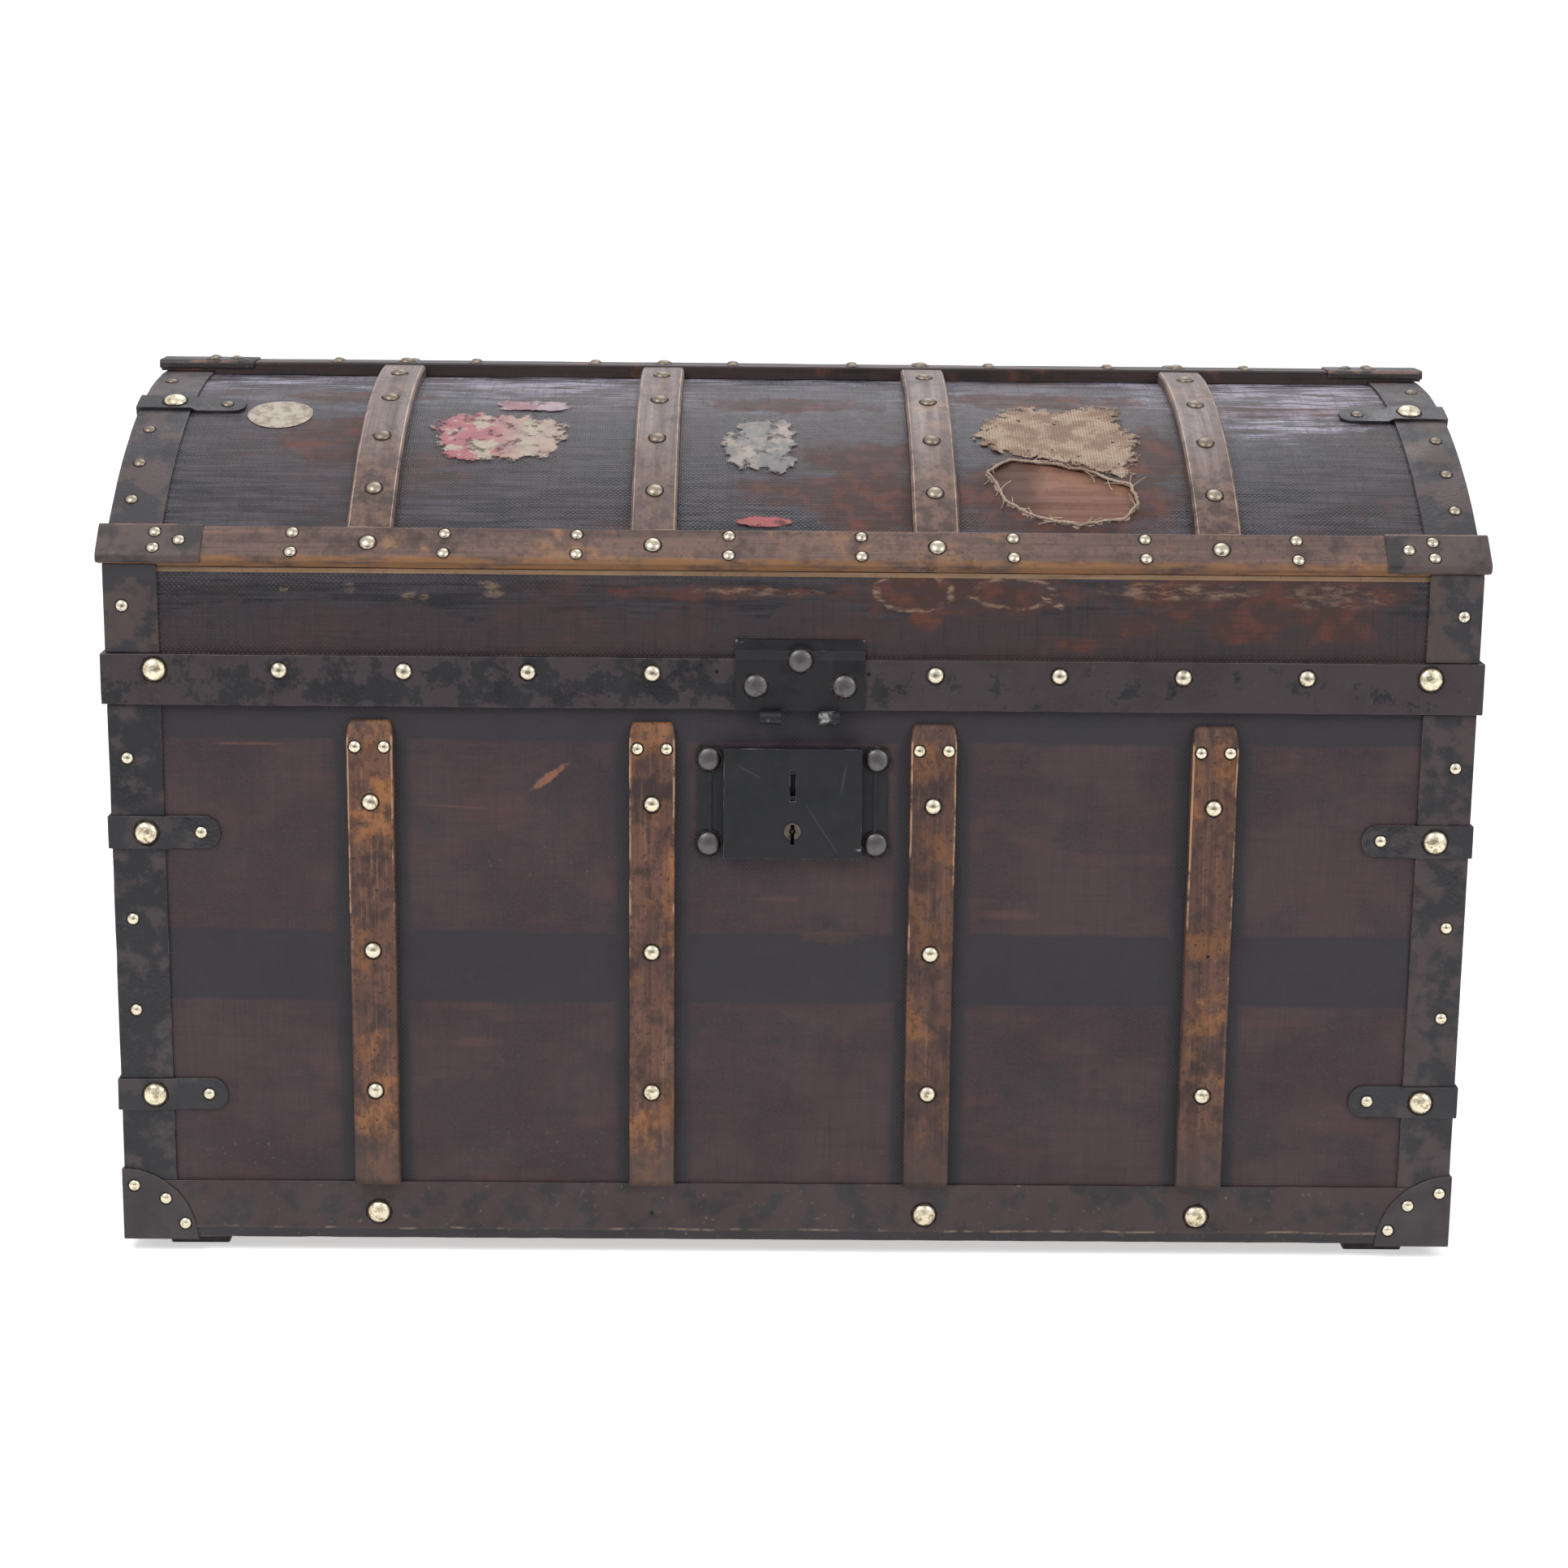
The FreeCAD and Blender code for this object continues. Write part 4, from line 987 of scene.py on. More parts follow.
@dataclass(frozen=True)
class IronFinish(Finish):
    """Black painted iron, rubbed to bare metal on its edges and along a few scratches."""

    paint: Colour
    rust: Colour
    bare: Colour
    reach: float = 0.3
    scratches: tuple[RubbedPlace, ...] = ()
    rust_scale: float = 80.0
    wear_scale: float = 75.0
    gloss_scale: float = 60.0
    relief_scale: float = 380.0
    relief: float = 0.0002

    def shade(self, board: Board) -> dict[str, Value]:
        """Paint over bare metal."""
        place = board.place()
        rusty = board.mottle(place, self.rust_scale, 0.56, 0.7, 0.5)
        bared = board.rubbed(place, self.wear_scale, self.reach)
        if self.scratches:
            across, _, up = board.split(place)
            bared = board.highest(bared, board.marked(self.scratches, board.join(across, up, 0.0)))
        return {
            "Base Color": board.mix(bared, board.mix(rusty, self.paint, self.rust), self.bare),
            "Metallic": bared,
            "Roughness": board.drift(place, self.gloss_scale, 0.4, 0.6),
            "Specular IOR Level": 0.4,
            "Normal": board.bump(board.cloud(place, self.relief_scale, 4.0), self.relief, 0.4),
        }


@dataclass(frozen=True)
class MetalFinish(Finish):
    """Bare brass, iron or steel, with tarnish in its hollows and, where given, darker the higher it lies."""

    bright: Colour
    tarnish: Colour
    roughness: float = 0.3
    tarnish_from: float = 0.52
    relief: float = 0.0003
    relief_scale: float = 420.0
    dull_from: float = 1.0
    dull_to: float = 2.0
    tarnish_scale: float = 260.0

    def shade(self, board: Board) -> dict[str, Value]:
        """Tarnished metal."""
        place = board.place()
        dull = board.mottle(place, self.tarnish_scale, self.tarnish_from, self.tarnish_from + 0.2)
        dull = board.highest(dull, board.slope(board.split(place)[2], self.dull_from, self.dull_to, 0.0, 0.9))
        return {
            "Base Color": board.mix(dull, self.bright, self.tarnish),
            "Metallic": 1.0,
            "Roughness": board.plus(board.times(dull, 0.22), self.roughness),
            "Normal": board.bump(board.cloud(place, self.relief_scale, 4.0), self.relief, 0.4),
        }


@dataclass(frozen=True)
class GrimeAndShadeFinish(Finish):
    """The dark dirt round nail heads, with the painted shadow at their rims and the painted shade of empty
    nail holes.
    """

    base: Colour
    pale: Colour
    scale: float = 300.0

    def shade(self, board: Board) -> dict[str, Value]:
        """Matt, uneven dirt and painted shade."""
        uneven = board.mottle(board.place(), self.scale, 0.45, 0.65)
        return {
            "Base Color": board.mix(uneven, self.base, self.pale),
            "Roughness": board.slope(uneven, 0.0, 1.0, 0.9, 0.7),
            "Specular IOR Level": 0.25,
        }


@dataclass(frozen=True)
class FloorFinish(Finish):
    """A pale studio floor that fades to white for the camera and keeps the shadow."""

    base: Colour
    pale: Colour
    camera_share: float

    def shade(self, board: Board) -> dict[str, Value]:
        """A faintly uneven pale floor."""
        uneven = board.slope(board.cloud(board.place(), 3.0), 0.2, 0.8, 0.0, 0.02)
        path = board.add("ShaderNodeLightPath")
        shown = ("Is Camera Ray", "Is Glossy Ray", "Is Transmission Ray")
        seen = board.highest(*(path.outputs[name] for name in shown))
        return {
            "Base Color": board.mix(uneven, self.base, self.pale),
            "Roughness": 0.9,
            "Specular IOR Level": 0.1,
            "Emission Color": WHITE,
            "Emission Strength": board.times(seen, self.camera_share),
        }


SLAT_WOOD = CaseSlatFinish(
    "case_slat_wood", (0.165, 0.077, 0.05), (0.024, 0.0145, 0.015), (0.36, 0.15, 0.052), (0.46, 0.26, 0.15),
    Fibres.UPRIGHT, warm_from=0.48, stain_from=0.48, rubbed=0.36, streaked=0.3, pitted=0.85, lined=0.4,
    blotched=0.55)
DOME_SLAT_WOOD = BentSlatFinish(
    "dome_slat_greyed_wood", (0.175, 0.125, 0.112), (0.05, 0.033, 0.031), (0.26, 0.15, 0.1),
    (0.4, 0.29, 0.22), Fibres.BENT, warm_from=0.54, stain_from=0.53, striped=0.4, rubbed=0.55, roughness=0.44,
    streaked=0.25, lined=0.5, blotched=0.4)
BATTEN_WOOD = BattenFinish(
    "batten_brown_wood", (0.155, 0.093, 0.073), (0.03, 0.02, 0.02), (0.27, 0.14, 0.075), (0.3, 0.17, 0.095),
    Fibres.LENGTHWISE, warm_from=0.53, stain_from=0.51, striped=0.4, rubbed=0.3, roughness=0.5, lined=0.6,
    blotched=0.4)
CREST_WOOD = WoodFinish(
    "crest_batten_wood", (0.04, 0.024, 0.023), (0.016, 0.012, 0.012), (0.13, 0.045, 0.027),
    (0.14, 0.08, 0.05), Fibres.LENGTHWISE, warm_from=0.56, rubbed=0.3, roughness=0.5, streaked=0.1)
# near-black: the runners' wood darkened as painted shade under the case
RUNNER_WOOD_IN_SHADE = WoodFinish(
    "runner_wood_and_painted_shade", (0.03, 0.024, 0.024), (0.012, 0.01, 0.01), (0.06, 0.035, 0.025), (0.1, 0.06, 0.04),
    Fibres.CROSSWISE)
BOARD_WOOD = WoodFinish(
    "case_board_wood", (0.3, 0.19, 0.11), (0.16, 0.09, 0.05), (0.34, 0.21, 0.12), (0.36, 0.24, 0.15),
    Fibres.LENGTHWISE, stain_from=0.6, roughness=0.7)
STAVE_WOOD = StaveFinish(
    "dome_stave_wood", (0.21, 0.1, 0.068), (0.055, 0.026, 0.02), (0.26, 0.13, 0.08), (0.34, 0.2, 0.14),
    Fibres.LENGTHWISE, stain_from=0.6, striped=0.4, roughness=0.7, pitted=0.3)
EDGE_LEATHER = LeatherFinish(
    "edge_leather", (0.007, 0.0075, 0.01), (0.048, 0.035, 0.036), (0.12, 0.09, 0.085),
    brown_from=0.49, crisp=0.14, scale=52.0)
RIGHT_EDGE_LEATHER = LeatherFinish(
    "right_edge_leather", (0.012, 0.012, 0.014), (0.052, 0.036, 0.037), (0.12, 0.09, 0.085),
    brown_from=0.42, crisp=0.16, scale=52.0)
DOME_EDGE_LEATHER = LeatherFinish(
    "dome_edge_leather", (0.026, 0.024, 0.028), (0.066, 0.046, 0.044), (0.11, 0.07, 0.055), brown_from=0.44)
FLOOR_EDGE_LEATHER = FloorEdgeFinish(
    "floor_edge_leather", (0.017, 0.014, 0.016), (0.045, 0.026, 0.027), (0.3, 0.22, 0.15),
    brown_from=0.36, crisp=0.2, scale=55.0)
CORNER_LEATHER = LeatherFinish(
    "corner_leather", (0.028, 0.024, 0.026), (0.047, 0.037, 0.037), (0.1, 0.075, 0.065),
    brown_from=0.4, crisp=0.25)
STRAP_LEATHER = LeatherFinish(
    "strap_leather", (0.015, 0.0145, 0.017), (0.042, 0.034, 0.035), (0.085, 0.06, 0.05), roughness=0.45)
CAP_LEATHER = CapFinish(
    "cap_leather", (0.022, 0.018, 0.019), (0.088, 0.06, 0.054), (0.17, 0.1, 0.07),
    reach=0.12, brown_from=0.34, crisp=0.22)
RIM_LEATHER = RimBandFinish(
    "rim_band_leather", (0.005, 0.005, 0.007), (0.036, 0.025, 0.027), (0.11, 0.08, 0.075),
    brown_from=0.51, crisp=0.08, scale=58.0)
BLACK_IRON = IronFinish("black_painted_iron", (0.006, 0.006, 0.008), (0.024, 0.017, 0.015), (0.32, 0.31, 0.3))
LOCK_IRON = IronFinish(
    "lock_painted_iron", (0.008, 0.0085, 0.011), (0.017, 0.016, 0.018), (0.4, 0.39, 0.38), reach=0.2,
    scratches=(
        RubbedPlace((0.018, 0.2985), (0.026, 0.0007), 0.06, 0.8, -57.0),
        RubbedPlace((-0.027, 0.334), (0.012, 0.0007), 0.06, 0.8, -30.0),
        RubbedPlace((0.033, 0.33), (0.012, 0.0012), 0.06, 0.8, 80.0),
        RubbedPlace((0.045, 0.283), (0.004, 0.0012), 0.5, 0.7, 0.0),
    ))
STUD_IRON = MetalFinish("dull_stud_iron", (0.125, 0.118, 0.118), (0.07, 0.064, 0.064), 0.42)
BOLT_STEEL = MetalFinish("oiled_bolt_steel", (0.16, 0.155, 0.15), (0.06, 0.055, 0.052), 0.5, 0.45)
STEEL = MetalFinish("worn_steel", (0.5, 0.48, 0.46), (0.2, 0.17, 0.15), 0.36)
BRASS = MetalFinish("nail_brass", (0.7, 0.63, 0.47), (0.3, 0.23, 0.14), 0.22, 0.51)
ROSETTE_BRASS = MetalFinish(
    "large_nail_brass", (0.74, 0.66, 0.48), (0.3, 0.22, 0.13), 0.24, 0.47, relief=0.0016, relief_scale=240.0)
LID_BRASS = MetalFinish(
    "lid_nail_brass", (0.66, 0.59, 0.45), (0.16, 0.125, 0.095), 0.24, 0.5, dull_from=0.44, dull_to=0.54)
KEYHOLE_BRASS = MetalFinish("keyhole_brass", (0.14, 0.12, 0.09), (0.06, 0.05, 0.042), 0.45, 0.45)
# dark dirt and painted shadow round nail heads, and painted shade in empty holes
GRIME_AND_SHADE = GrimeAndShadeFinish("nail_grime_and_shade", (0.016, 0.012, 0.011), (0.045, 0.03, 0.024))
LINING = ClothFinish(
    "buff_lining_cloth", (0.46, 0.37, 0.25), (0.36, 0.27, 0.17), (0.22, 0.16, 0.1),
    mapped=False, stain_from=0.5)
LID_LINING = replace(LINING, name="buff_lid_lining_cloth", mapped=True)
RAW_CANVAS = ClothFinish(
    "torn_raw_canvas", (0.46, 0.355, 0.27), (0.29, 0.2, 0.145), (0.16, 0.1, 0.072), 0.002, stain_from=0.4,
    stain_scale=60.0, torn=True)
STRAND = ClothFinish(
    "loose_strands", (0.52, 0.41, 0.32), (0.36, 0.26, 0.19), (0.24, 0.17, 0.12), mapped=False)
CREAM_PAPER = PaperFinish(
    "remnant_cream_paper", (0.4, 0.34, 0.27), (0.35, 0.125, 0.14), (0.18, 0.135, 0.15), 0.42, 60.0,
    lean=-0.195)
PINK_PAPER = PaperFinish("remnant_pink_paper", (0.36, 0.27, 0.29), (0.3, 0.17, 0.19), (0.15, 0.12, 0.13), 0.5)
RED_PAPER = PaperFinish("remnant_red_paper", (0.34, 0.1, 0.1), (0.3, 0.2, 0.12), (0.1, 0.06, 0.065), 0.55)
GREY_PAPER = PaperFinish(
    "remnant_grey_paper", (0.33, 0.285, 0.25), (0.2, 0.19, 0.185), (0.13, 0.115, 0.115), 0.44, 40.0)
PLATE_PAPER = PaperFinish(
    "bare_round_plate", (0.42, 0.37, 0.3), (0.3, 0.24, 0.19), (0.2, 0.15, 0.12), 0.5, 120.0, thin_from=0.9)
PALE_FLOOR = FloorFinish("pale_floor", (0.86, 0.86, 0.86), (0.7, 0.7, 0.7), 0.54)


def to_mesh(shape: BMesh, name: str) -> bpy.types.Mesh:
    """Turns a shape, which is used up, into a mesh.

    Args:
        shape: the shape.
        name: the mesh's name.

    Returns:
        The mesh.
    """
    mesh = bpy.data.meshes.new(name)
    shape.to_mesh(mesh)
    shape.free()
    return mesh


def link(name: str, data: bpy.types.ID) -> bpy.types.Object:
    """Puts a new object into the scene, at the origin.

    Args:
        name: the object's name.
        data: its mesh, curve, light or camera.

    Returns:
        The object.
    """
    made = bpy.data.objects.new(name, data)
    bpy.context.scene.collection.objects.link(made)
    return made


@dataclass
class Piece:
    """A finished mesh of the trunk, with its body, its material slot and the nodes that it stands for."""

    name: str
    body: Body
    slot: str
    stands_for: tuple[str, ...] = ()

    def place(
            self, shape: BMesh, *finishes: Finish,
            crease: float = 45.0, wall: float = 0.0) -> bpy.types.Object:
        """Makes the object and hands it to the frame.

        Args:
            shape: the piece's mesh, which is used up.
            finishes: the finishes of its faces, by number.
            crease: the angle in degrees from which an edge stays sharp.
            wall: the thickness that an open sheet gets on its inner side.

        Returns:
            The new object.
        """
        mesh = to_mesh(shape, self.name)
        for finish in finishes:
            mesh.materials.append(finish.material())
        mesh.shade_smooth()
        mesh.set_sharp_from_angle(angle=math.radians(crease))
        made = link(self.name, mesh)
        if wall:
            thickness = made.modifiers.new("wall", "SOLIDIFY")
            thickness.thickness = wall
            thickness.offset = -1.0
        even = made.modifiers.new("even_shading", "WEIGHTED_NORMAL")
        even.keep_sharp = True
        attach(made, self.body.value)
        if self.stands_for:
            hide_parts(*self.stands_for)
        log.info("%s: %d faces, on %s", self.name, len(mesh.polygons), self.body.value)
        return made


def surface(shape: BMesh) -> float:
    """The area of a shape's faces."""
    return sum(face.calc_area() for face in shape.faces)


def node_copy(*nodes: str) -> BMesh:
    """A merged copy of some nodes' meshes, with their flat faces joined.

    Args:
        nodes: the nodes' names.

    Returns:
        The copy.
    """
    shape = bmesh.new()
    for node in nodes:
        shape.from_mesh(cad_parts[node].data)
    bmesh.ops.remove_doubles(shape, verts=shape.verts, dist=MERGE_DISTANCE)
    bmesh.ops.dissolve_limit(shape, angle_limit=FLAT_ANGLE, verts=shape.verts, edges=shape.edges)
    return shape


def soften(shape: BMesh, rounding: float, sharper_than: float = 40.0) -> None:
    """Rounds a shape's sharp edges and marks the rounded strips as worn, also those that it already has.

    Args:
        shape: the shape.
        rounding: the width that each rounded edge takes from its faces, or 0 to only mark.
        sharper_than: the angle in degrees from which an edge counts as sharp.
    """
    wear = shape.verts.layers.float.new(WEAR)
    limit = math.radians(sharper_than)
    sharp = [edge for edge in shape.edges if edge.is_manifold and edge.calc_face_angle(0.0) > limit]
    if rounding:
        made = bmesh.ops.bevel(
            shape, geom=sharp, offset=rounding, offset_type="OFFSET", segments=2, profile=0.5, affect="EDGES",
            clamp_overlap=True, material=-1)
        strips = set(made["faces"])
        for vert in made["verts"]:
            if all(face in strips for face in vert.link_faces):
                vert[wear] = 1.0
    slim = {
        face for face in shape.faces
        if face.calc_area() < SLIM * max(edge.calc_length() for edge in face.edges)}
    for vert in shape.verts:
        if all(face in slim for face in vert.link_faces):
            vert[wear] = 1.0


def spare(shape: BMesh, keep: Callable[[Vector], bool]) -> None:
    """Takes the wear off a shape where it isn't kept.

    Args:
        shape: the shape, already softened.
        keep: tells for a place whether its wear stays.
    """
    wear = shape.verts.layers.float[WEAR]
    for vert in shape.verts:
        if not keep(vert.co):
            vert[wear] = 0.0


def slice_across(shape: BMesh, centre: Vector, normal: Vector) -> None:
    """Cuts an edge line into a shape where a plane meets it."""
    geometry = shape.verts[:] + shape.edges[:] + shape.faces[:]
    bmesh.ops.bisect_plane(shape, geom=geometry, dist=MERGE_DISTANCE, plane_co=centre, plane_no=normal)


def grid(shape: BMesh, **steps: float) -> None:
    """Cuts a shape into steps along its axes, so that it can be dented.

    Args:
        shape: the shape.
        steps: the step along each axis, by the axis's letter.
    """
    for axis, step in steps.items():
        index = "xyz".index(axis)
        normal = Vector.Fill(3, 0.0)
        normal[index] = 1.0
        places = [vert.co[index] for vert in shape.verts]
        low, high = min(places), max(places)
        count = max(1, round((high - low) / step))
        for cut in range(1, count):
            slice_across(shape, normal * (low + (high - low) * cut / count), normal)


def dent(shape: BMesh, depth: float, size: float, seed: float, edge_depth: float = 0.0) -> None:
    """Wears hollows into a shape, never outwards.

    Args:
        shape: the shape.
        depth: the depth of the deepest hollow.
        size: the usual width of a hollow.
        seed: the place in the noise.
        edge_depth: the further depth on worn edges.
    """
    wear = shape.verts.layers.float.get(WEAR)
    shift = Vector((seed, seed * 1.7, seed * 2.3))
    shape.normal_update()
    for vert in shape.verts:
        hollow = max(0.0, noise.noise(vert.co / size + shift))
        chip = max(0.0, noise.noise(vert.co / (size * 0.4) - shift)) * (vert[wear] if wear else 0.0)
        vert.co -= vert.normal * (depth * hollow + edge_depth * chip)


def dress_node(node: str, finish: Finish) -> None:
    """Gives a node that stays as it is its finish."""
    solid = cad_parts[node]
    if not solid.material_slots:
        solid.data.materials.append(None)
    for slot in solid.material_slots:
        slot.material = finish.material()


@dataclass(frozen=True)
class LidForm:
    """The lid's outer form: straight walls under an arched dome, read from the frame."""

    half_length: float
    half_depth: float
    rim: float
    shoulder: float
    radius: float
    axis_height: float

    @classmethod
    def from_frame(cls) -> "LidForm":
        """Reads the form from the lid's boards, staves and canvas.

        Returns:
            The form.
        """
        board_low, board_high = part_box("lid_front_board")
        canvas_low, canvas_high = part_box("lid_canvas")
        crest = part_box("dome_staves")[1].z
        rise = crest - board_high.z
        board_radius = (board_low.y ** 2 + rise ** 2) / (2 * rise)
        axis_height = crest - board_radius
        radius = canvas_high.z - axis_height
        shoulder = axis_height + math.sqrt(radius ** 2 - canvas_high.y ** 2)
        return cls(canvas_high.x, canvas_high.y, canvas_low.z, shoulder, radius, axis_height)

    @property
    def edge_angle(self) -> float:
        """The angle at which the dome meets the wall."""
        return math.asin(self.half_depth / self.radius)

    @property
    def arc(self) -> float:
        """The way from the crest to the wall, along the canvas."""
        return self.radius * self.edge_angle

    @property
    def reach(self) -> float:
        """The way from the crest to the rim, along the canvas."""
        return self.arc + self.shoulder - self.rim

    def along(self, degrees: float) -> float:
        """The way along the canvas from the crest to an angle."""
        return self.radius * math.radians(degrees)

    def wrap(self, flat: Vector) -> Vector:
        """Lays a point of the flat canvas on the lid.

        Args:
            flat: X, the way round the dome to the back, and the height off the canvas.

        Returns:
            The point on the lid.
        """
        side = math.copysign(1.0, flat.y)
        way = abs(flat.y)
        if way <= self.arc:
            angle = flat.y / self.radius
            out = self.radius + flat.z
            return Vector((flat.x, out * math.sin(angle), self.axis_height + out * math.cos(angle)))
        return Vector((flat.x, side * (self.half_depth + flat.z), self.shoulder - (way - self.arc)))

    def map_bent(self, shape: BMesh) -> None:
        """Gives a bent piece a map that runs with its bend.

        Args:
            shape: the piece's mesh.
        """
        layer = shape.loops.layers.uv.new(CLOTH)
        for face in shape.faces:
            for loop in face.loops:
                point = loop.vert.co
                out = math.hypot(point.y, point.z - self.axis_height)
                angle = math.atan2(-point.y, point.z - self.axis_height)
                loop[layer].uv = (point.x + out, self.radius * angle)

    def slice_round(self, shape: BMesh, step: float) -> None:
        """Cuts a bent piece across, at equal angles round the dome.

        Args:
            shape: the piece's mesh.
            step: the angle between cuts, in degrees.
        """
        count = int(math.degrees(self.edge_angle) / step)
        for number in range(-count, count + 1):
            angle = math.radians(number * step)
            normal = Vector((0.0, math.cos(angle), math.sin(angle)))
            slice_across(shape, Vector((0.0, 0.0, self.axis_height)), normal)


@dataclass(frozen=True)
class TornEdge:
    """A torn closed line on the flat canvas, between an ellipse and a box."""

    centre: Pair
    half: Pair
    squareness: float
    ragged: float
    seed: float

    def line(self, turn: float) -> float:
        """How far the line lies from its middle in one direction, before it is torn."""
        parts = (abs(math.cos(turn)) / self.half[0], abs(math.sin(turn)) / self.half[1])
        return sum(part ** self.squareness for part in parts) ** (-1.0 / self.squareness)

    def torn(self, turn: float) -> float:
        """How far the torn line lies from its middle in one direction.

        Args:
            turn: the direction's angle.

        Returns:
            The distance.
        """
        spot = Vector((math.cos(turn), math.sin(turn), self.seed))
        tear = sum(share * noise.noise(spot * pitch) for pitch, share in TEAR_WAVES)
        return self.line(turn) * (1.0 + self.ragged * tear)

    def point(self, turn: float) -> Vector:
        """The flat point of the torn line in one direction."""
        out = self.torn(turn)
        return Vector((self.centre[0] + out * math.cos(turn), -self.centre[1] - out * math.sin(turn), 0.0))

    def share(self, point: Vector) -> float:
        """How far out a flat point lies: under 1 is inside, 1 is on the line.

        Args:
            point: the point, with the way round the dome counted to the back.

        Returns:
            The share.
        """
        across = point.x - self.centre[0]
        along = -point.y - self.centre[1]
        return math.hypot(across, along) / self.torn(math.atan2(along, across))

    def snap(self, vert: BMVert) -> None:
        """Moves a vertex straight out or in to the line."""
        middle = Vector((self.centre[0], -self.centre[1], vert.co.z))
        vert.co = middle + (vert.co - middle) / self.share(vert.co)


@dataclass(frozen=True)
class DrawnEdge(TornEdge):
    """A torn closed line through given corners."""

    corners: tuple[Pair, ...] = ()

    @classmethod
    def through(cls, corners: list[Pair], ragged: float, seed: float) -> "DrawnEdge":
        """Makes the line.

        Args:
            corners: the corners, as X and the way round the dome from the crest.
            ragged: how ragged the line is.
            seed: the place in the noise.

        Returns:
            The line.
        """
        lows, highs = ([pick(part) for part in zip(*corners)] for pick in (min, max))
        centre = tuple((low + high) / 2 for low, high in zip(lows, highs))
        half = tuple((high - low) / 2 for low, high in zip(lows, highs))
        return cls(centre, half, 2.0, ragged, seed, tuple(corners))

    def line(self, turn: float) -> float:
        """How far the line lies from its middle in one direction: where the ray leaves the outline."""
        ray = Vector((math.cos(turn), math.sin(turn)))
        spots = [Vector(corner) - Vector(self.centre) for corner in self.corners]
        reach = 0.0
        for start, stop in zip(spots, spots[1:] + spots[:1]):
            side = stop - start
            slant = ray.cross(side)
            if abs(slant) > PARALLEL and 0.0 <= start.cross(ray) / slant <= 1.0:
                reach = max(reach, start.cross(side) / slant)
        return reach or max(self.half)


def wrap_with_map(shape: BMesh, form: LidForm) -> None:
    """Maps a flat shape by its flat coordinates, then lays it on the lid.

    Args:
        shape: the flat shape.
        form: the lid's form.
    """
    layer = shape.loops.layers.uv.new(CLOTH)
    for face in shape.faces:
        for loop in face.loops:
            loop[layer].uv = (loop.vert.co.x, -loop.vert.co.y)
    for vert in shape.verts:
        vert.co = form.wrap(vert.co)


def join_shape(whole: BMesh, part: bpy.types.Mesh, placing: Matrix) -> None:
    """Adds a copy of a mesh to a shape, in its place.

    Args:
        whole: the shape that grows.
        part: the mesh.
        placing: where the copy goes.
    """
    before = len(whole.verts)
    whole.from_mesh(part)
    whole.verts.ensure_lookup_table()
    bmesh.ops.transform(whole, matrix=placing, verts=whole.verts[before:])


@dataclass
class Boards:
    """The case's and the lid's bare boards, which stay as their nodes are."""

    lengthwise: tuple[str, ...] = (
        "body_front_board", "body_back_board", "body_bottom_board", "body_left_end", "body_right_end",
        "lid_front_board", "lid_back_board", "lid_left_end", "lid_right_end")
    staves: str = "dome_staves"

    def build(self) -> None:
        """Gives the boards their wood."""
        for node in self.lengthwise:
            dress_node(node, BOARD_WOOD)
        dress_node(self.staves, STAVE_WOOD)


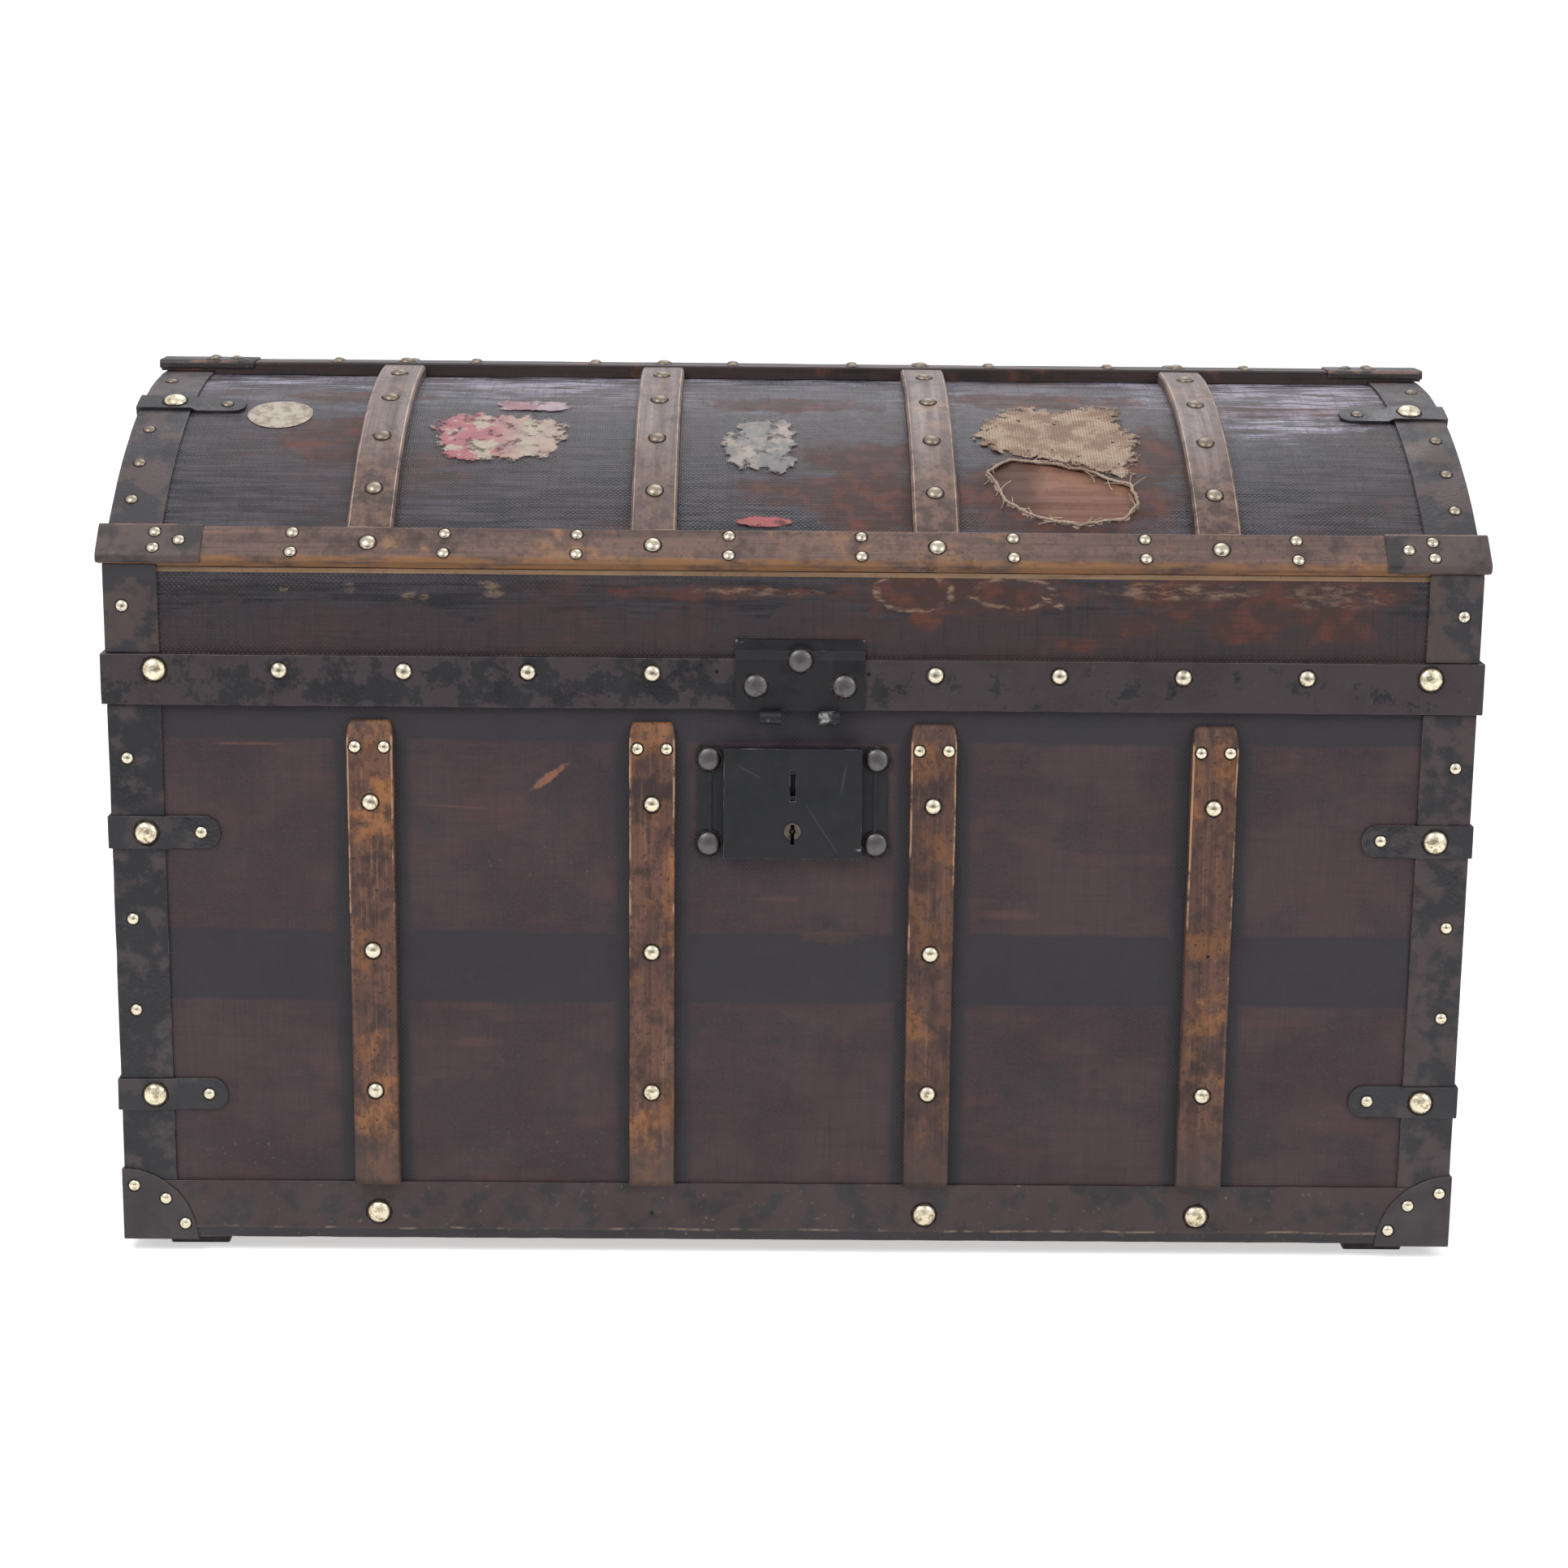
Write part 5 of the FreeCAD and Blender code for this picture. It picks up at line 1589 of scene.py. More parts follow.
@dataclass
class Slats:
    """The upright slats of the case, the bent slats of the dome, the battens and the runners."""

    form: LidForm
    bent_rounding: float = 0.0008
    runner_rounding: float = 0.0016
    step: float = 0.006
    hollow: float = 0.0004
    chip: float = 0.0009
    dent_size: float = 0.03
    batten_dent: float = 0.04
    bend_step: float = 1.2
    runner_step: float = 0.02
    taper_length: float = 0.011
    taper: float = 0.13
    slat_reach: float = 0.04
    upright_nodes: tuple[str, ...] = (
        "front_slat_1", "front_slat_2", "front_slat_3", "front_slat_4", "back_slats")
    bent_nodes: tuple[str, ...] = ("dome_front_slats", "dome_back_slats")

    def narrow_tops(self, shape: BMesh) -> None:
        """Narrows each slat's top end towards its middle.

        Args:
            shape: one slat or several.
        """
        foot = max(vert.co.z for vert in shape.verts) - self.taper_length
        tops = [vert for vert in shape.verts if vert.co.z > foot]
        middles = []
        for vert in tops:
            near = [other.co.x for other in tops if abs(other.co.x - vert.co.x) < self.slat_reach]
            middles.append((min(near) + max(near)) / 2)
        for vert, middle in zip(tops, middles):
            share = (vert.co.z - foot) / self.taper_length
            vert.co.x -= (vert.co.x - middle) * self.taper * share * share

    def upright(self, node: str, seed: float) -> None:
        """Builds one node of upright slats.

        Args:
            node: the node's name.
            seed: the place in the noise.
        """
        shape = node_copy(node)
        soften(shape, 0.0)
        grid(shape, z=self.step)
        top = max(vert.co.z for vert in shape.verts)
        slice_across(shape, Vector((0.0, 0.0, top - self.step / 2)), Vector((0.0, 0.0, 1.0)))
        self.narrow_tops(shape)
        dent(shape, self.hollow, self.dent_size, seed, self.chip)
        Piece("worn_" + node, Body.CASE, "slat_wood", (node,)).place(shape, SLAT_WOOD)

    def bent(self, node: str, seed: float) -> None:
        """Builds one node of bent slats.

        Args:
            node: the node's name.
            seed: the place in the noise.
        """
        shape = node_copy(node)
        soften(shape, self.bent_rounding)
        self.form.slice_round(shape, self.bend_step)
        dent(shape, self.hollow, self.dent_size, seed, self.chip)
        self.form.map_bent(shape)
        Piece("worn_" + node, Body.LID, "dome_slat_wood", (node,)).place(shape, DOME_SLAT_WOOD)

    def batten(self, node: str, seed: float, finish: Finish) -> None:
        """Builds one batten.

        Args:
            node: the node's name.
            seed: the place in the noise.
            finish: its wood.
        """
        shape = node_copy(node)
        soften(shape, 0.0)
        grid(shape, x=self.step * 1.5)
        dent(shape, self.hollow, self.batten_dent, seed, self.hollow)
        Piece("worn_" + node, Body.LID, "batten_wood", (node,)).place(shape, finish)

    def runners(self) -> None:
        """Builds the runners under the case."""
        shape = node_copy("bottom_runners")
        soften(shape, self.runner_rounding)
        grid(shape, y=self.runner_step)
        dent(shape, self.hollow, self.dent_size, seed=9.0)
        # dark wood with painted shade
        Piece("worn_bottom_runners", Body.CASE, "runner_wood", ("bottom_runners",)).place(shape, RUNNER_WOOD_IN_SHADE)

    def build(self) -> None:
        """Builds all the slats, battens and runners."""
        for seed, node in enumerate(self.upright_nodes, start=3):
            self.upright(node, seed)
        for seed, node in enumerate(self.bent_nodes, start=11):
            self.bent(node, seed)
        self.batten("front_batten", 17.0, BATTEN_WOOD)
        self.batten("crest_batten", 18.0, CREST_WOOD)
        self.batten("back_batten", 19.0, BATTEN_WOOD)
        self.runners()


@dataclass
class Bindings:
    """The leather on the trunk's edges: bindings, caps, straps and the lid's rim band."""

    rounding: float = 0.0007
    step: float = 0.009
    hollow: float = 0.0005
    dent_size: float = 0.022
    seed_step: float = 1.3
    fold_height: float = 0.02
    case_edges: tuple[str, ...] = (
        "front_left_edge_binding", "front_right_edge_binding",
        "back_left_edge_binding", "back_right_edge_binding")
    lid_edges: tuple[str, ...] = ("lid_corner_bindings", "dome_left_binding", "dome_right_binding")

    def cut(self, node: str, body: Body, finish: Finish, worn_below: float = 1.0, **steps: float) -> None:
        """Cuts one piece of leather from its node.

        Args:
            node: the node's name.
            body: the body that it rides on.
            finish: its leather.
            worn_below: the height above which its edges aren't rubbed.
            steps: the steps in which it is dented, by axis.
        """
        shape = node_copy(node)
        soften(shape, self.rounding)
        spare(shape, lambda place: place.z < worn_below)
        grid(shape, **steps)
        dent(shape, self.hollow, self.dent_size, len(node) * self.seed_step, self.hollow)
        Piece("worn_" + node, body, "leather", (node,)).place(shape, finish)

    def build(self) -> None:
        """Cuts all the leather."""
        for node in self.case_edges:
            finish = EDGE_LEATHER if "left" in node else RIGHT_EDGE_LEATHER
            self.cut(node, Body.CASE, finish, z=self.step)
        for node in self.lid_edges:
            self.cut(node, Body.LID, DOME_EDGE_LEATHER, x=self.step)
        steps = {"x": self.step, "z": self.step}
        self.cut("bottom_edge_bindings", Body.CASE, FLOOR_EDGE_LEATHER, worn_below=self.fold_height, **steps)
        self.cut("bottom_corner_caps", Body.CASE, CORNER_LEATHER)
        self.cut("body_straps", Body.CASE, STRAP_LEATHER)
        self.cut("dome_straps", Body.LID, STRAP_LEATHER)
        self.cut("batten_end_caps", Body.LID, CAP_LEATHER)
        self.cut("lid_rim_band", Body.LID, RIM_LEATHER, **steps)


@dataclass
class CaseCanvas:
    """The painted canvas round the case."""

    corner: float = 0.003
    step: float = 0.02
    hollow: float = 0.0004
    hollow_size: float = 0.06
    wall: float = 0.0009
    # half width of the band of painted shade at each slat
    slat_shade_half: float = 0.027
    belt: Pair = (0.174, 0.225)
    rim_from: float = 0.351

    def finish(self) -> CaseCanvasFinish:
        """The canvas's finish, with a band of painted shade behind and beside each slat.

        Returns:
            The finish.
        """
        slats = tuple(sum(corner.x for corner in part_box(f"front_slat_{n}")) / 2 for n in range(1, 5))
        scratches = tuple(RubbedPlace(*row) for row in (
            ((-0.158, 0.329), (0.021, 0.0034), 0.85, 2.6, 37.0),
            ((-0.355, 0.349), (0.028, 0.001), 0.3, 0.5),
            ((-0.22, 0.308), (0.026, 0.0009), 0.22, 0.6, -3.0),
            ((-0.01, 0.247), (0.022, 0.003), 0.12, 2.6),
            ((0.03, 0.221), (0.025, 0.005), 0.09, 2.6),
            ((0.145, 0.237), (0.022, 0.004), 0.11, 2.6),
            ((-0.21, 0.148), (0.016, 0.006), 0.1, 2.6),
        ))
        scuffs = tuple(RubbedPlace(*row) for row in (
            ((-0.19, 0.135), (0.02, 0.008), 0.5, 2.0),
            ((-0.35, 0.07), (0.06, 0.016), 0.6, 2.0),
            ((-0.16, 0.075), (0.07, 0.02), 0.5, 2.0),
            ((0.04, 0.07), (0.07, 0.012), 0.4, 2.0),
            ((-0.16, 0.265), (0.06, 0.03), 0.5, 2.0),
            ((0.36, 0.098), (0.014, 0.008), 0.5, 1.6, -30.0),
        ))
        return CaseCanvasFinish(
            "case_painted_canvas", (0.043, 0.024, 0.027), (0.066, 0.038, 0.04), (0.021, 0.0205, 0.025),
            (0.15, 0.115, 0.11), (0.3, 0.13, 0.075), slats, self.slat_shade_half, self.belt, self.rim_from,
            scratches, scuffs)

    def build(self) -> None:
        """Builds the canvas as one sleeve round the case."""
        low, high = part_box("body_canvas")
        size = high - low
        shape = bmesh.new()
        placing = Matrix.Translation((low + high) / 2) @ Matrix.Diagonal((*size, 1.0))
        bmesh.ops.create_cube(shape, size=1.0, matrix=placing)
        ends = [face for face in shape.faces if abs(face.normal.z) > 0.5]
        bmesh.ops.delete(shape, geom=ends, context="FACES_ONLY")
        corners = [edge for edge in shape.edges if abs(edge.verts[0].co.z - edge.verts[1].co.z) > size.z / 2]
        bmesh.ops.bevel(
            shape, geom=corners, offset=self.corner, segments=3, profile=0.5, affect="EDGES", material=-1)
        grid(shape, x=self.step, y=self.step, z=self.step)
        dent(shape, self.hollow, self.hollow_size, seed=23.0)
        piece = Piece("painted_case_canvas", Body.CASE, "body_canvas", ("body_canvas",))
        made = piece.place(shape, self.finish(), wall=self.wall)


@dataclass
class Linings:
    """The cloth inside the case and the lid."""

    form: LidForm
    step: float = 0.03
    slack: float = 0.0005
    slack_size: float = 0.08

    def build(self) -> None:
        """Builds both linings."""
        for node, body, board, finish in (
                ("body_lining", Body.CASE, "body_bottom_board", LINING),
                ("lid_lining", Body.LID, "dome_staves", LID_LINING)):
            shape = node_copy(node)
            grid(shape, x=self.step, z=self.step)
            dent(shape, self.slack, self.slack_size, seed=31.0)
            if finish.mapped:
                self.form.map_bent(shape)
            low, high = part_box(node)
            area = surface(shape) / 2
            made = Piece("cloth_" + node, body, "lining", (node,)).place(shape, finish)


@dataclass(frozen=True)
class Scrap:
    """A remnant on the dome: its edge, its finish and how it lies."""

    name: str
    edge: TornEdge
    finish: Finish
    lift: float = 0.0009
    crumple: float = 0.0004
    ring: float = 0.0
    worn: float = 1.0


@dataclass
class LidCanvas:
    """The painted canvas over the lid, its torn place and the remnants that stick to it."""

    form: LidForm
    step: float = 0.012
    wall: float = 0.0009
    black_wall: float = 0.026
    fine_until: float = 1.9
    fine_cuts: int = 3
    snap_until: float = 1.7
    curl: float = 0.0022
    curl_until: float = 1.3
    curl_pitch: float = 90.0
    scrap_step: float = 0.0025
    scrap_reach: float = 1.6
    scrap_wall: float = 0.0003
    scrap_height: float = 0.0005
    worn_from: float = 0.6
    lift_from: float = 0.75
    lift_pitch: float = 70.0
    fold_pitch: float = 160.0
    ring_span: Pair = (0.78, 0.92)
    strands: int = 36
    strand_width: float = 0.0006
    strand_flatness: float = 0.7
    strand_rise: float = 0.6
    strand_lengths: Pair = (0.005, 0.014)
    strand_slants: Pair = (0.95, 1.5)
    strand_sway: float = 85.0
    strand_droops: Pair = (1.5, 9.0)
    hem_radius: float = 0.001
    hem_rise: float = 0.6
    hem_uneven: float = 0.6
    hem_pitch: float = 400.0
    hem_corners: int = 120
    tear: TornEdge = field(init=False)

    def __post_init__(self) -> None:
        """Places the torn hole in front of the crest, right of the middle."""
        self.tear = self.drawn(
            ((0.127, 29.7), (0.145, 27.5), (0.167, 28.0), (0.193, 29.2), (0.208, 30.7), (0.223, 31.8),
             (0.225, 34.8), (0.214, 37.3), (0.185, 38.1), (0.167, 37.5), (0.152, 36.3), (0.139, 34.5)),
            0.05, 4.2)

    def edge(self, centre: Pair, half: Pair, squareness: float, ragged: float, seed: float) -> TornEdge:
        """A torn line whose middle and half sizes are given as X and an angle in degrees."""
        middle = (centre[0], self.form.along(centre[1]))
        return TornEdge(middle, (half[0], self.form.along(half[1])), squareness, ragged, seed)

    def drawn(self, corners: Iterable[Pair], ragged: float, seed: float) -> DrawnEdge:
        """A torn line through corners given as X and an angle round the dome."""
        return DrawnEdge.through([(x, self.form.along(angle)) for x, angle in corners], ragged, seed)

    def on_dome(self, rows: Iterable[tuple]) -> tuple[RubbedPlace, ...]:
        """Rubbed places on the dome.

        Args:
            rows: for each place X, an angle, a half length, a half angle and the place's other values.

        Returns:
            The places on the flat canvas.
        """
        along = self.form.along
        return tuple(
            RubbedPlace((x, along(angle)), (half, along(half_angle)), *others)
            for x, angle, half, half_angle, *others in rows)

    def on_wall(self, rows: Iterable[tuple]) -> tuple[RubbedPlace, ...]:
        """Rubbed places on the front wall.

        Args:
            rows: for each place X, the way down from the dome, both half sizes and the place's other values.

        Returns:
            The places on the flat canvas.
        """
        return tuple(
            RubbedPlace((x, self.form.arc + down), (half, half_height), *others)
            for x, down, half, half_height, *others in rows)

    def finish(self) -> LidCanvasFinish:
        """The canvas's finish, with its rubbed places.

        Returns:
            The finish.
        """
        places = self.on_dome((
            (0.175, 33.5, 0.1, 9.0, 0.95, 1.2),
            (0.236, 26.0, 0.03, 8.0, 0.9),
            (0.05, 34.5, 0.045, 8.0, 1.0, 1.4),
            (0.045, 27.0, 0.06, 3.5, 0.85, 2.0),
            (0.0, 33.0, 0.06, 3.0, 0.75, 2.0),
            (0.0, 14.5, 0.08, 2.8, 0.8, 2.0),
            (-0.3, 24.0, 0.05, 7.0, 0.9, 1.6),
            (-0.3, 13.0, 0.06, 2.6, 0.75, 2.0),
            (0.33, 15.0, 0.07, 2.8, 0.75, 2.0),
            (0.17, 12.5, 0.09, 3.6, 0.9, 1.6),
            (0.16, 40.5, 0.14, 2.0, 0.8, 1.8),
        )) + self.on_wall((
            (0.3, 0.014, 0.13, 0.026, 0.85, 1.5),
            (0.11, 0.014, 0.11, 0.017, 0.85, 1.6),
            (-0.05, 0.014, 0.1, 0.006, 0.7, 1.8),
            (0.0765, 0.0125, 0.028, 0.0145, 0.95, 0.5),
            (0.141, 0.013, 0.03, 0.011, 0.85, 0.6),
            (0.083, 0.031, 0.014, 0.009, 0.9, 1.2),
            (0.22, 0.033, 0.016, 0.012, 0.85, 1.8),
            (0.29, 0.036, 0.03, 0.011, 0.9, 1.8),
            (0.35, 0.034, 0.03, 0.014, 0.9, 1.6),
            (0.185, 0.046, 0.02, 0.006, 0.8, 1.6),
        ))
        # places of dust and painted sheen on the dome
        dust_and_sheen = self.on_dome((
            (0.335, 11.0, 0.08, 14.0, 2.0, 1.2),
            (-0.18, 6.0, 0.08, 7.0, 1.7, 1.2),
        ))
        # places kept clear of dust and painted sheen
        clear_of_dust_and_sheen = self.on_dome((
            (0.0, 10.0, 0.1, 7.5, 0.7, 1.2),
            (0.18, 8.0, 0.09, 6.0, 0.6, 1.2),
            (-0.33, 12.0, 0.06, 5.0, 0.6, 1.4),
        ))
        scuffs = self.on_wall((
            (0.0765, 0.0125, 0.028, 0.0145, 0.7, 0.45, 0.0, True),
            (0.141, 0.013, 0.031, 0.0115, 0.6, 0.5, 0.0, True),
            (0.25, 0.011, 0.06, 0.007, 0.5, 1.0),
            (0.35, 0.014, 0.045, 0.01, 0.35, 1.0),
            (0.168, 0.019, 0.012, 0.003, 0.8, 1.6, 30.0),
            (-0.02, 0.013, 0.05, 0.003, 0.45, 2.0),
            (-0.329, 0.012, 0.004, 0.006, 0.35, 1.6),
            (-0.287, 0.012, 0.005, 0.006, 0.35, 1.6),
            (-0.245, 0.018, 0.012, 0.004, 0.4, 1.8),
            (-0.196, 0.012, 0.01, 0.006, 0.45, 1.8, 20.0),
        ))
        return LidCanvasFinish(
            "lid_painted_canvas", (0.012, 0.011, 0.0145), (0.064, 0.058, 0.07), (0.043, 0.028, 0.03),
            (0.058, 0.025, 0.018), (0.125, 0.037, 0.022), (0.34, 0.22, 0.14), (0.42, 0.32, 0.26),
            self.form.arc + self.black_wall, self.black_wall, places, scuffs, dust_and_sheen, clear_of_dust_and_sheen)

    def scraps(self) -> list[Scrap]:
        """The remnants on the dome, left to right.

        Returns:
            The remnants.
        """
        straw = self.drawn(
            ((0.117, 22.3), (0.142, 16.1), (0.157, 14.5), (0.186, 15.9), (0.206, 14.3), (0.223, 15.3),
             (0.223, 19.1), (0.231, 22.3), (0.233, 26.6), (0.224, 31.0), (0.208, 30.0), (0.193, 28.6),
             (0.167, 27.6), (0.136, 26.0), (0.125, 24.5)), 0.07, 9.3)
        plate = self.edge((-0.349, 18.4), (0.022, 3.5), 2.0, 0.012, 1.0)
        return [
            Scrap("round_plate", plate, PLATE_PAPER, 0.0, 0.0, 0.0004, worn=0.0),
            Scrap("cream_paper_remnant", self.edge((-0.2, 23.2), (0.046, 5.3), 4.0, 0.1, 7.4), CREAM_PAPER),
            Scrap("pink_paper_strip", self.edge((-0.179, 15.6), (0.028, 1.6), 3.0, 0.14, 2.7), PINK_PAPER),
            Scrap("grey_paper_remnant", self.edge((-0.022, 24.2), (0.025, 6.3), 2.4, 0.18, 5.9), GREY_PAPER),
            Scrap("red_paper_remnant", self.edge((-0.02, 37.9), (0.021, 0.85), 2.2, 0.22, 3.3), RED_PAPER),
            Scrap("torn_canvas_patch", straw, RAW_CANVAS, 0.0016, 0.0012),
        ]

    def open_tear(self, shape: BMesh) -> None:
        """Opens the torn hole in the flat canvas and curls its edge up.

        Args:
            shape: the flat canvas.
        """
        wear = shape.verts.layers.float.new(WEAR)
        near = [
            line for line in shape.edges
            if all(self.tear.share(vert.co) < self.fine_until for vert in line.verts)]
        bmesh.ops.subdivide_edges(shape, edges=near, cuts=self.fine_cuts, use_grid_fill=True)
        inside = [face for face in shape.faces if self.tear.share(face.calc_center_median()) < 1.0]
        bmesh.ops.delete(shape, geom=inside, context="FACES")
        for vert in shape.verts:
            if vert.is_boundary and self.tear.share(vert.co) < self.snap_until:
                self.tear.snap(vert)
            share = self.tear.share(vert.co)
            if share < self.curl_until:
                vert.co.z += self.lifted(vert.co) * (self.curl_until - share) / (self.curl_until - 1.0)
                if vert.is_boundary:
                    vert[wear] = 1.0

    def lifted(self, flat: Vector) -> float:
        """How high the torn edge curls up at a flat point."""
        return self.curl * max(0.0, 0.5 + noise.noise(Vector((flat.x, flat.y, 0.0)) * self.curl_pitch))

    def close_ends(self, shape: BMesh) -> list[BMFace]:
        """Adds the lid's two arched ends to the laid canvas.

        Args:
            shape: the canvas, already on the lid.

        Returns:
            The new faces.
        """
        ends: list[BMFace] = []
        for side in (-1.0, 1.0):
            place = side * self.form.half_length
            arch = [
                edge for edge in shape.edges
                if edge.is_boundary and all(abs(vert.co.x - place) < MERGE_DISTANCE for vert in edge.verts)]
            verts = {vert for edge in arch for vert in edge.verts}
            feet = sorted(verts, key=lambda vert: (vert.co.z, vert.co.y))[:2]
            sill = bmesh.ops.contextual_create(shape, geom=feet)["edges"]
            ends += bmesh.ops.contextual_create(shape, geom=arch + sill)["faces"]
        return ends

    def canvas(self) -> None:
        """Builds the canvas flat, tears it and lays it on the lid."""
        form = self.form
        shape = bmesh.new()
        span = Matrix.Diagonal((2 * form.half_length, 2 * form.reach, 1.0, 1.0))
        columns = round(2 * form.half_length / self.step)
        rows = round(2 * form.reach / self.step)
        bmesh.ops.create_grid(shape, x_segments=columns, y_segments=rows, size=0.5, matrix=span)
        self.open_tear(shape)
        wrap_with_map(shape, form)
        layer = shape.loops.layers.uv[CLOTH]
        for face in self.close_ends(shape):
            for loop in face.loops:
                loop[layer].uv = (loop.vert.co.y, loop.vert.co.z)
        bmesh.ops.recalc_face_normals(shape, faces=shape.faces)
        area = surface(shape)
        piece = Piece("painted_lid_canvas", Body.LID, "lid_canvas", ("lid_canvas",))
        made = piece.place(shape, self.finish(), crease=30.0, wall=self.wall)

    def lay(self, scrap: Scrap) -> None:
        """Tears one remnant to shape and lays it on the canvas.

        Args:
            scrap: the remnant.
        """
        edge = scrap.edge
        shape = bmesh.new()
        spans = [2 * self.scrap_reach * half for half in edge.half]
        placing = Matrix.Translation((edge.centre[0], -edge.centre[1], 0.0))
        placing = placing @ Matrix.Diagonal((*spans, 1.0, 1.0))
        columns, rows = (round(span / self.scrap_step) for span in spans)
        bmesh.ops.create_grid(shape, x_segments=columns, y_segments=rows, size=0.5, matrix=placing)
        outside = [face for face in shape.faces if edge.share(face.calc_center_median()) > 1.0]
        bmesh.ops.delete(shape, geom=outside, context="FACES")
        wear = shape.verts.layers.float.new(WEAR)
        for vert in shape.verts:
            if vert.is_boundary:
                edge.snap(vert)
        for vert in shape.verts:
            vert[wear] = scrap.worn * max(0.0, edge.share(vert.co) - self.worn_from) / (1.0 - self.worn_from)
        area = surface(shape)
        sides = [[vert.co[axis] for vert in shape.verts] for axis in (0, 1)]
        flat = tuple(max(side) - min(side) for side in sides)
        for vert in shape.verts:
            share = edge.share(vert.co)
            lifted = max(0.0, share - self.lift_from) / (1.0 - self.lift_from)
            curl = scrap.lift * lifted * max(0.0, 0.4 + noise.noise(vert.co * self.lift_pitch))
            folds = scrap.crumple * max(0.0, noise.noise(vert.co * self.fold_pitch))
            ridge = scrap.ring if self.ring_span[0] < share < self.ring_span[1] else 0.0
            vert.co.z = self.scrap_height + curl + folds + ridge
        wrap_with_map(shape, self.form)
        piece = Piece(scrap.name, Body.LID, "lid_canvas")
        made = piece.place(shape, scrap.finish, crease=60.0, wall=self.scrap_wall)

    def strand_mesh(self) -> bpy.types.Mesh:
        """One straight strand of unit length along Y.

        Returns:
            Its mesh.
        """
        shape = bmesh.new()
        bmesh.ops.create_cube(shape, size=1.0, matrix=Matrix.Translation((0.0, 0.5, 0.0)))
        grid(shape, y=0.2)
        return to_mesh(shape, "strand")

    def fray(self) -> None:
        """Builds the loose strands round the torn hole."""
        chance = random.Random(5)
        strand = self.strand_mesh()
        shape = bmesh.new()
        centre = Vector((self.tear.centre[0], -self.tear.centre[1], 0.0))
        for _ in range(self.strands):
            turn = chance.uniform(0.0, 2 * math.pi)
            edge = self.tear.point(turn)
            inward = centre - edge
            length = chance.uniform(*self.strand_lengths)
            slant = chance.choice((-1.0, 1.0)) * chance.uniform(*self.strand_slants)
            heading = math.atan2(inward.y, inward.x) - math.pi / 2 + slant
            size = Matrix.Diagonal((self.strand_width, length, self.strand_width * self.strand_flatness, 1.0))
            before = len(shape.verts)
            join_shape(shape, strand, size)
            sway = chance.uniform(-self.strand_sway, self.strand_sway)
            droop = chance.uniform(*self.strand_droops)
            placing = Matrix.Translation(edge) @ Matrix.Rotation(heading, 4, "Z")
            shape.verts.ensure_lookup_table()
            for vert in shape.verts[before:]:
                way = vert.co.y
                vert.co.x += sway * way * way
                vert.co.z += self.curl * self.strand_rise + droop * way * way
                vert.co = self.form.wrap(placing @ vert.co)
        bpy.data.meshes.remove(strand)
        bmesh.ops.recalc_face_normals(shape, faces=shape.faces)
        Piece("frayed_strands", Body.LID, "lid_canvas").place(shape, STRAND)

    def hem(self) -> None:
        """Builds the rolled thread along the torn hole's edge."""
        path = bpy.data.curves.new("hem", "CURVE")
        path.dimensions = "3D"
        path.bevel_depth = self.hem_radius
        path.bevel_resolution = 1
        line = path.splines.new("NURBS")
        line.points.add(self.hem_corners - 1)
        for number, corner in enumerate(line.points):
            flat = self.tear.point(2 * math.pi * number / self.hem_corners)
            flat.z = self.lifted(flat) + self.hem_radius * self.hem_rise
            corner.co = (*self.form.wrap(flat), 1.0)
            corner.radius = 1.0 + self.hem_uneven * noise.noise(flat * self.hem_pitch)
        line.use_cyclic_u = True
        line.order_u = 3
        rope = link("hem", path)
        mesh = bpy.data.meshes.new_from_object(rope.evaluated_get(bpy.context.evaluated_depsgraph_get()))
        shape = bmesh.new()
        shape.from_mesh(mesh)
        bpy.data.objects.remove(rope)
        bpy.data.curves.remove(path)
        bpy.data.meshes.remove(mesh)
        Piece("rolled_torn_edge", Body.LID, "lid_canvas").place(shape, STRAND, crease=80.0)

    def build(self) -> None:
        """Builds the canvas, its remnants and its loose strands."""
        self.canvas()
        for scrap in self.scraps():
            self.lay(scrap)
        self.fray()
        self.hem()


@dataclass(frozen=True)
class NailHead:
    """Where a nail head sits: the middle of its underside, its way out and its radius."""

    centre: Vector
    out: Vector
    radius: float


def nail_heads(node: str) -> list[NailHead]:
    """Finds the nail heads of a node by the flat underside of each.

    Args:
        node: the node's name.

    Returns:
        The heads, in order of their places.
    """
    shape = bmesh.new()
    shape.from_mesh(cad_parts[node].data)
    bmesh.ops.remove_doubles(shape, verts=shape.verts, dist=MERGE_DISTANCE)
    heads: list[NailHead] = []
    seen: set[BMFace] = set()
    for first in shape.faces:
        if first in seen:
            continue
        island = [first]
        seen.add(first)
        for face in island:
            for edge in face.edges:
                fresh = [other for other in edge.link_faces if other not in seen]
                seen.update(fresh)
                island += fresh
        flats: dict[tuple, list[BMFace]] = {}
        for face in island:
            flats.setdefault(tuple(round(part, 2) + 0.0 for part in face.normal), []).append(face)
        under = max(flats.values(), key=lambda faces: sum(face.calc_area() for face in faces))
        area = sum(face.calc_area() for face in under)
        centre = sum((face.calc_center_median() * face.calc_area() for face in under), Vector()) / area
        radius = max((vert.co - centre).length for face in under for vert in face.verts)
        heads.append(NailHead(centre, -under[0].normal, radius))
    shape.free()
    return sorted(heads, key=lambda head: tuple(round(part, 4) for part in head.centre))


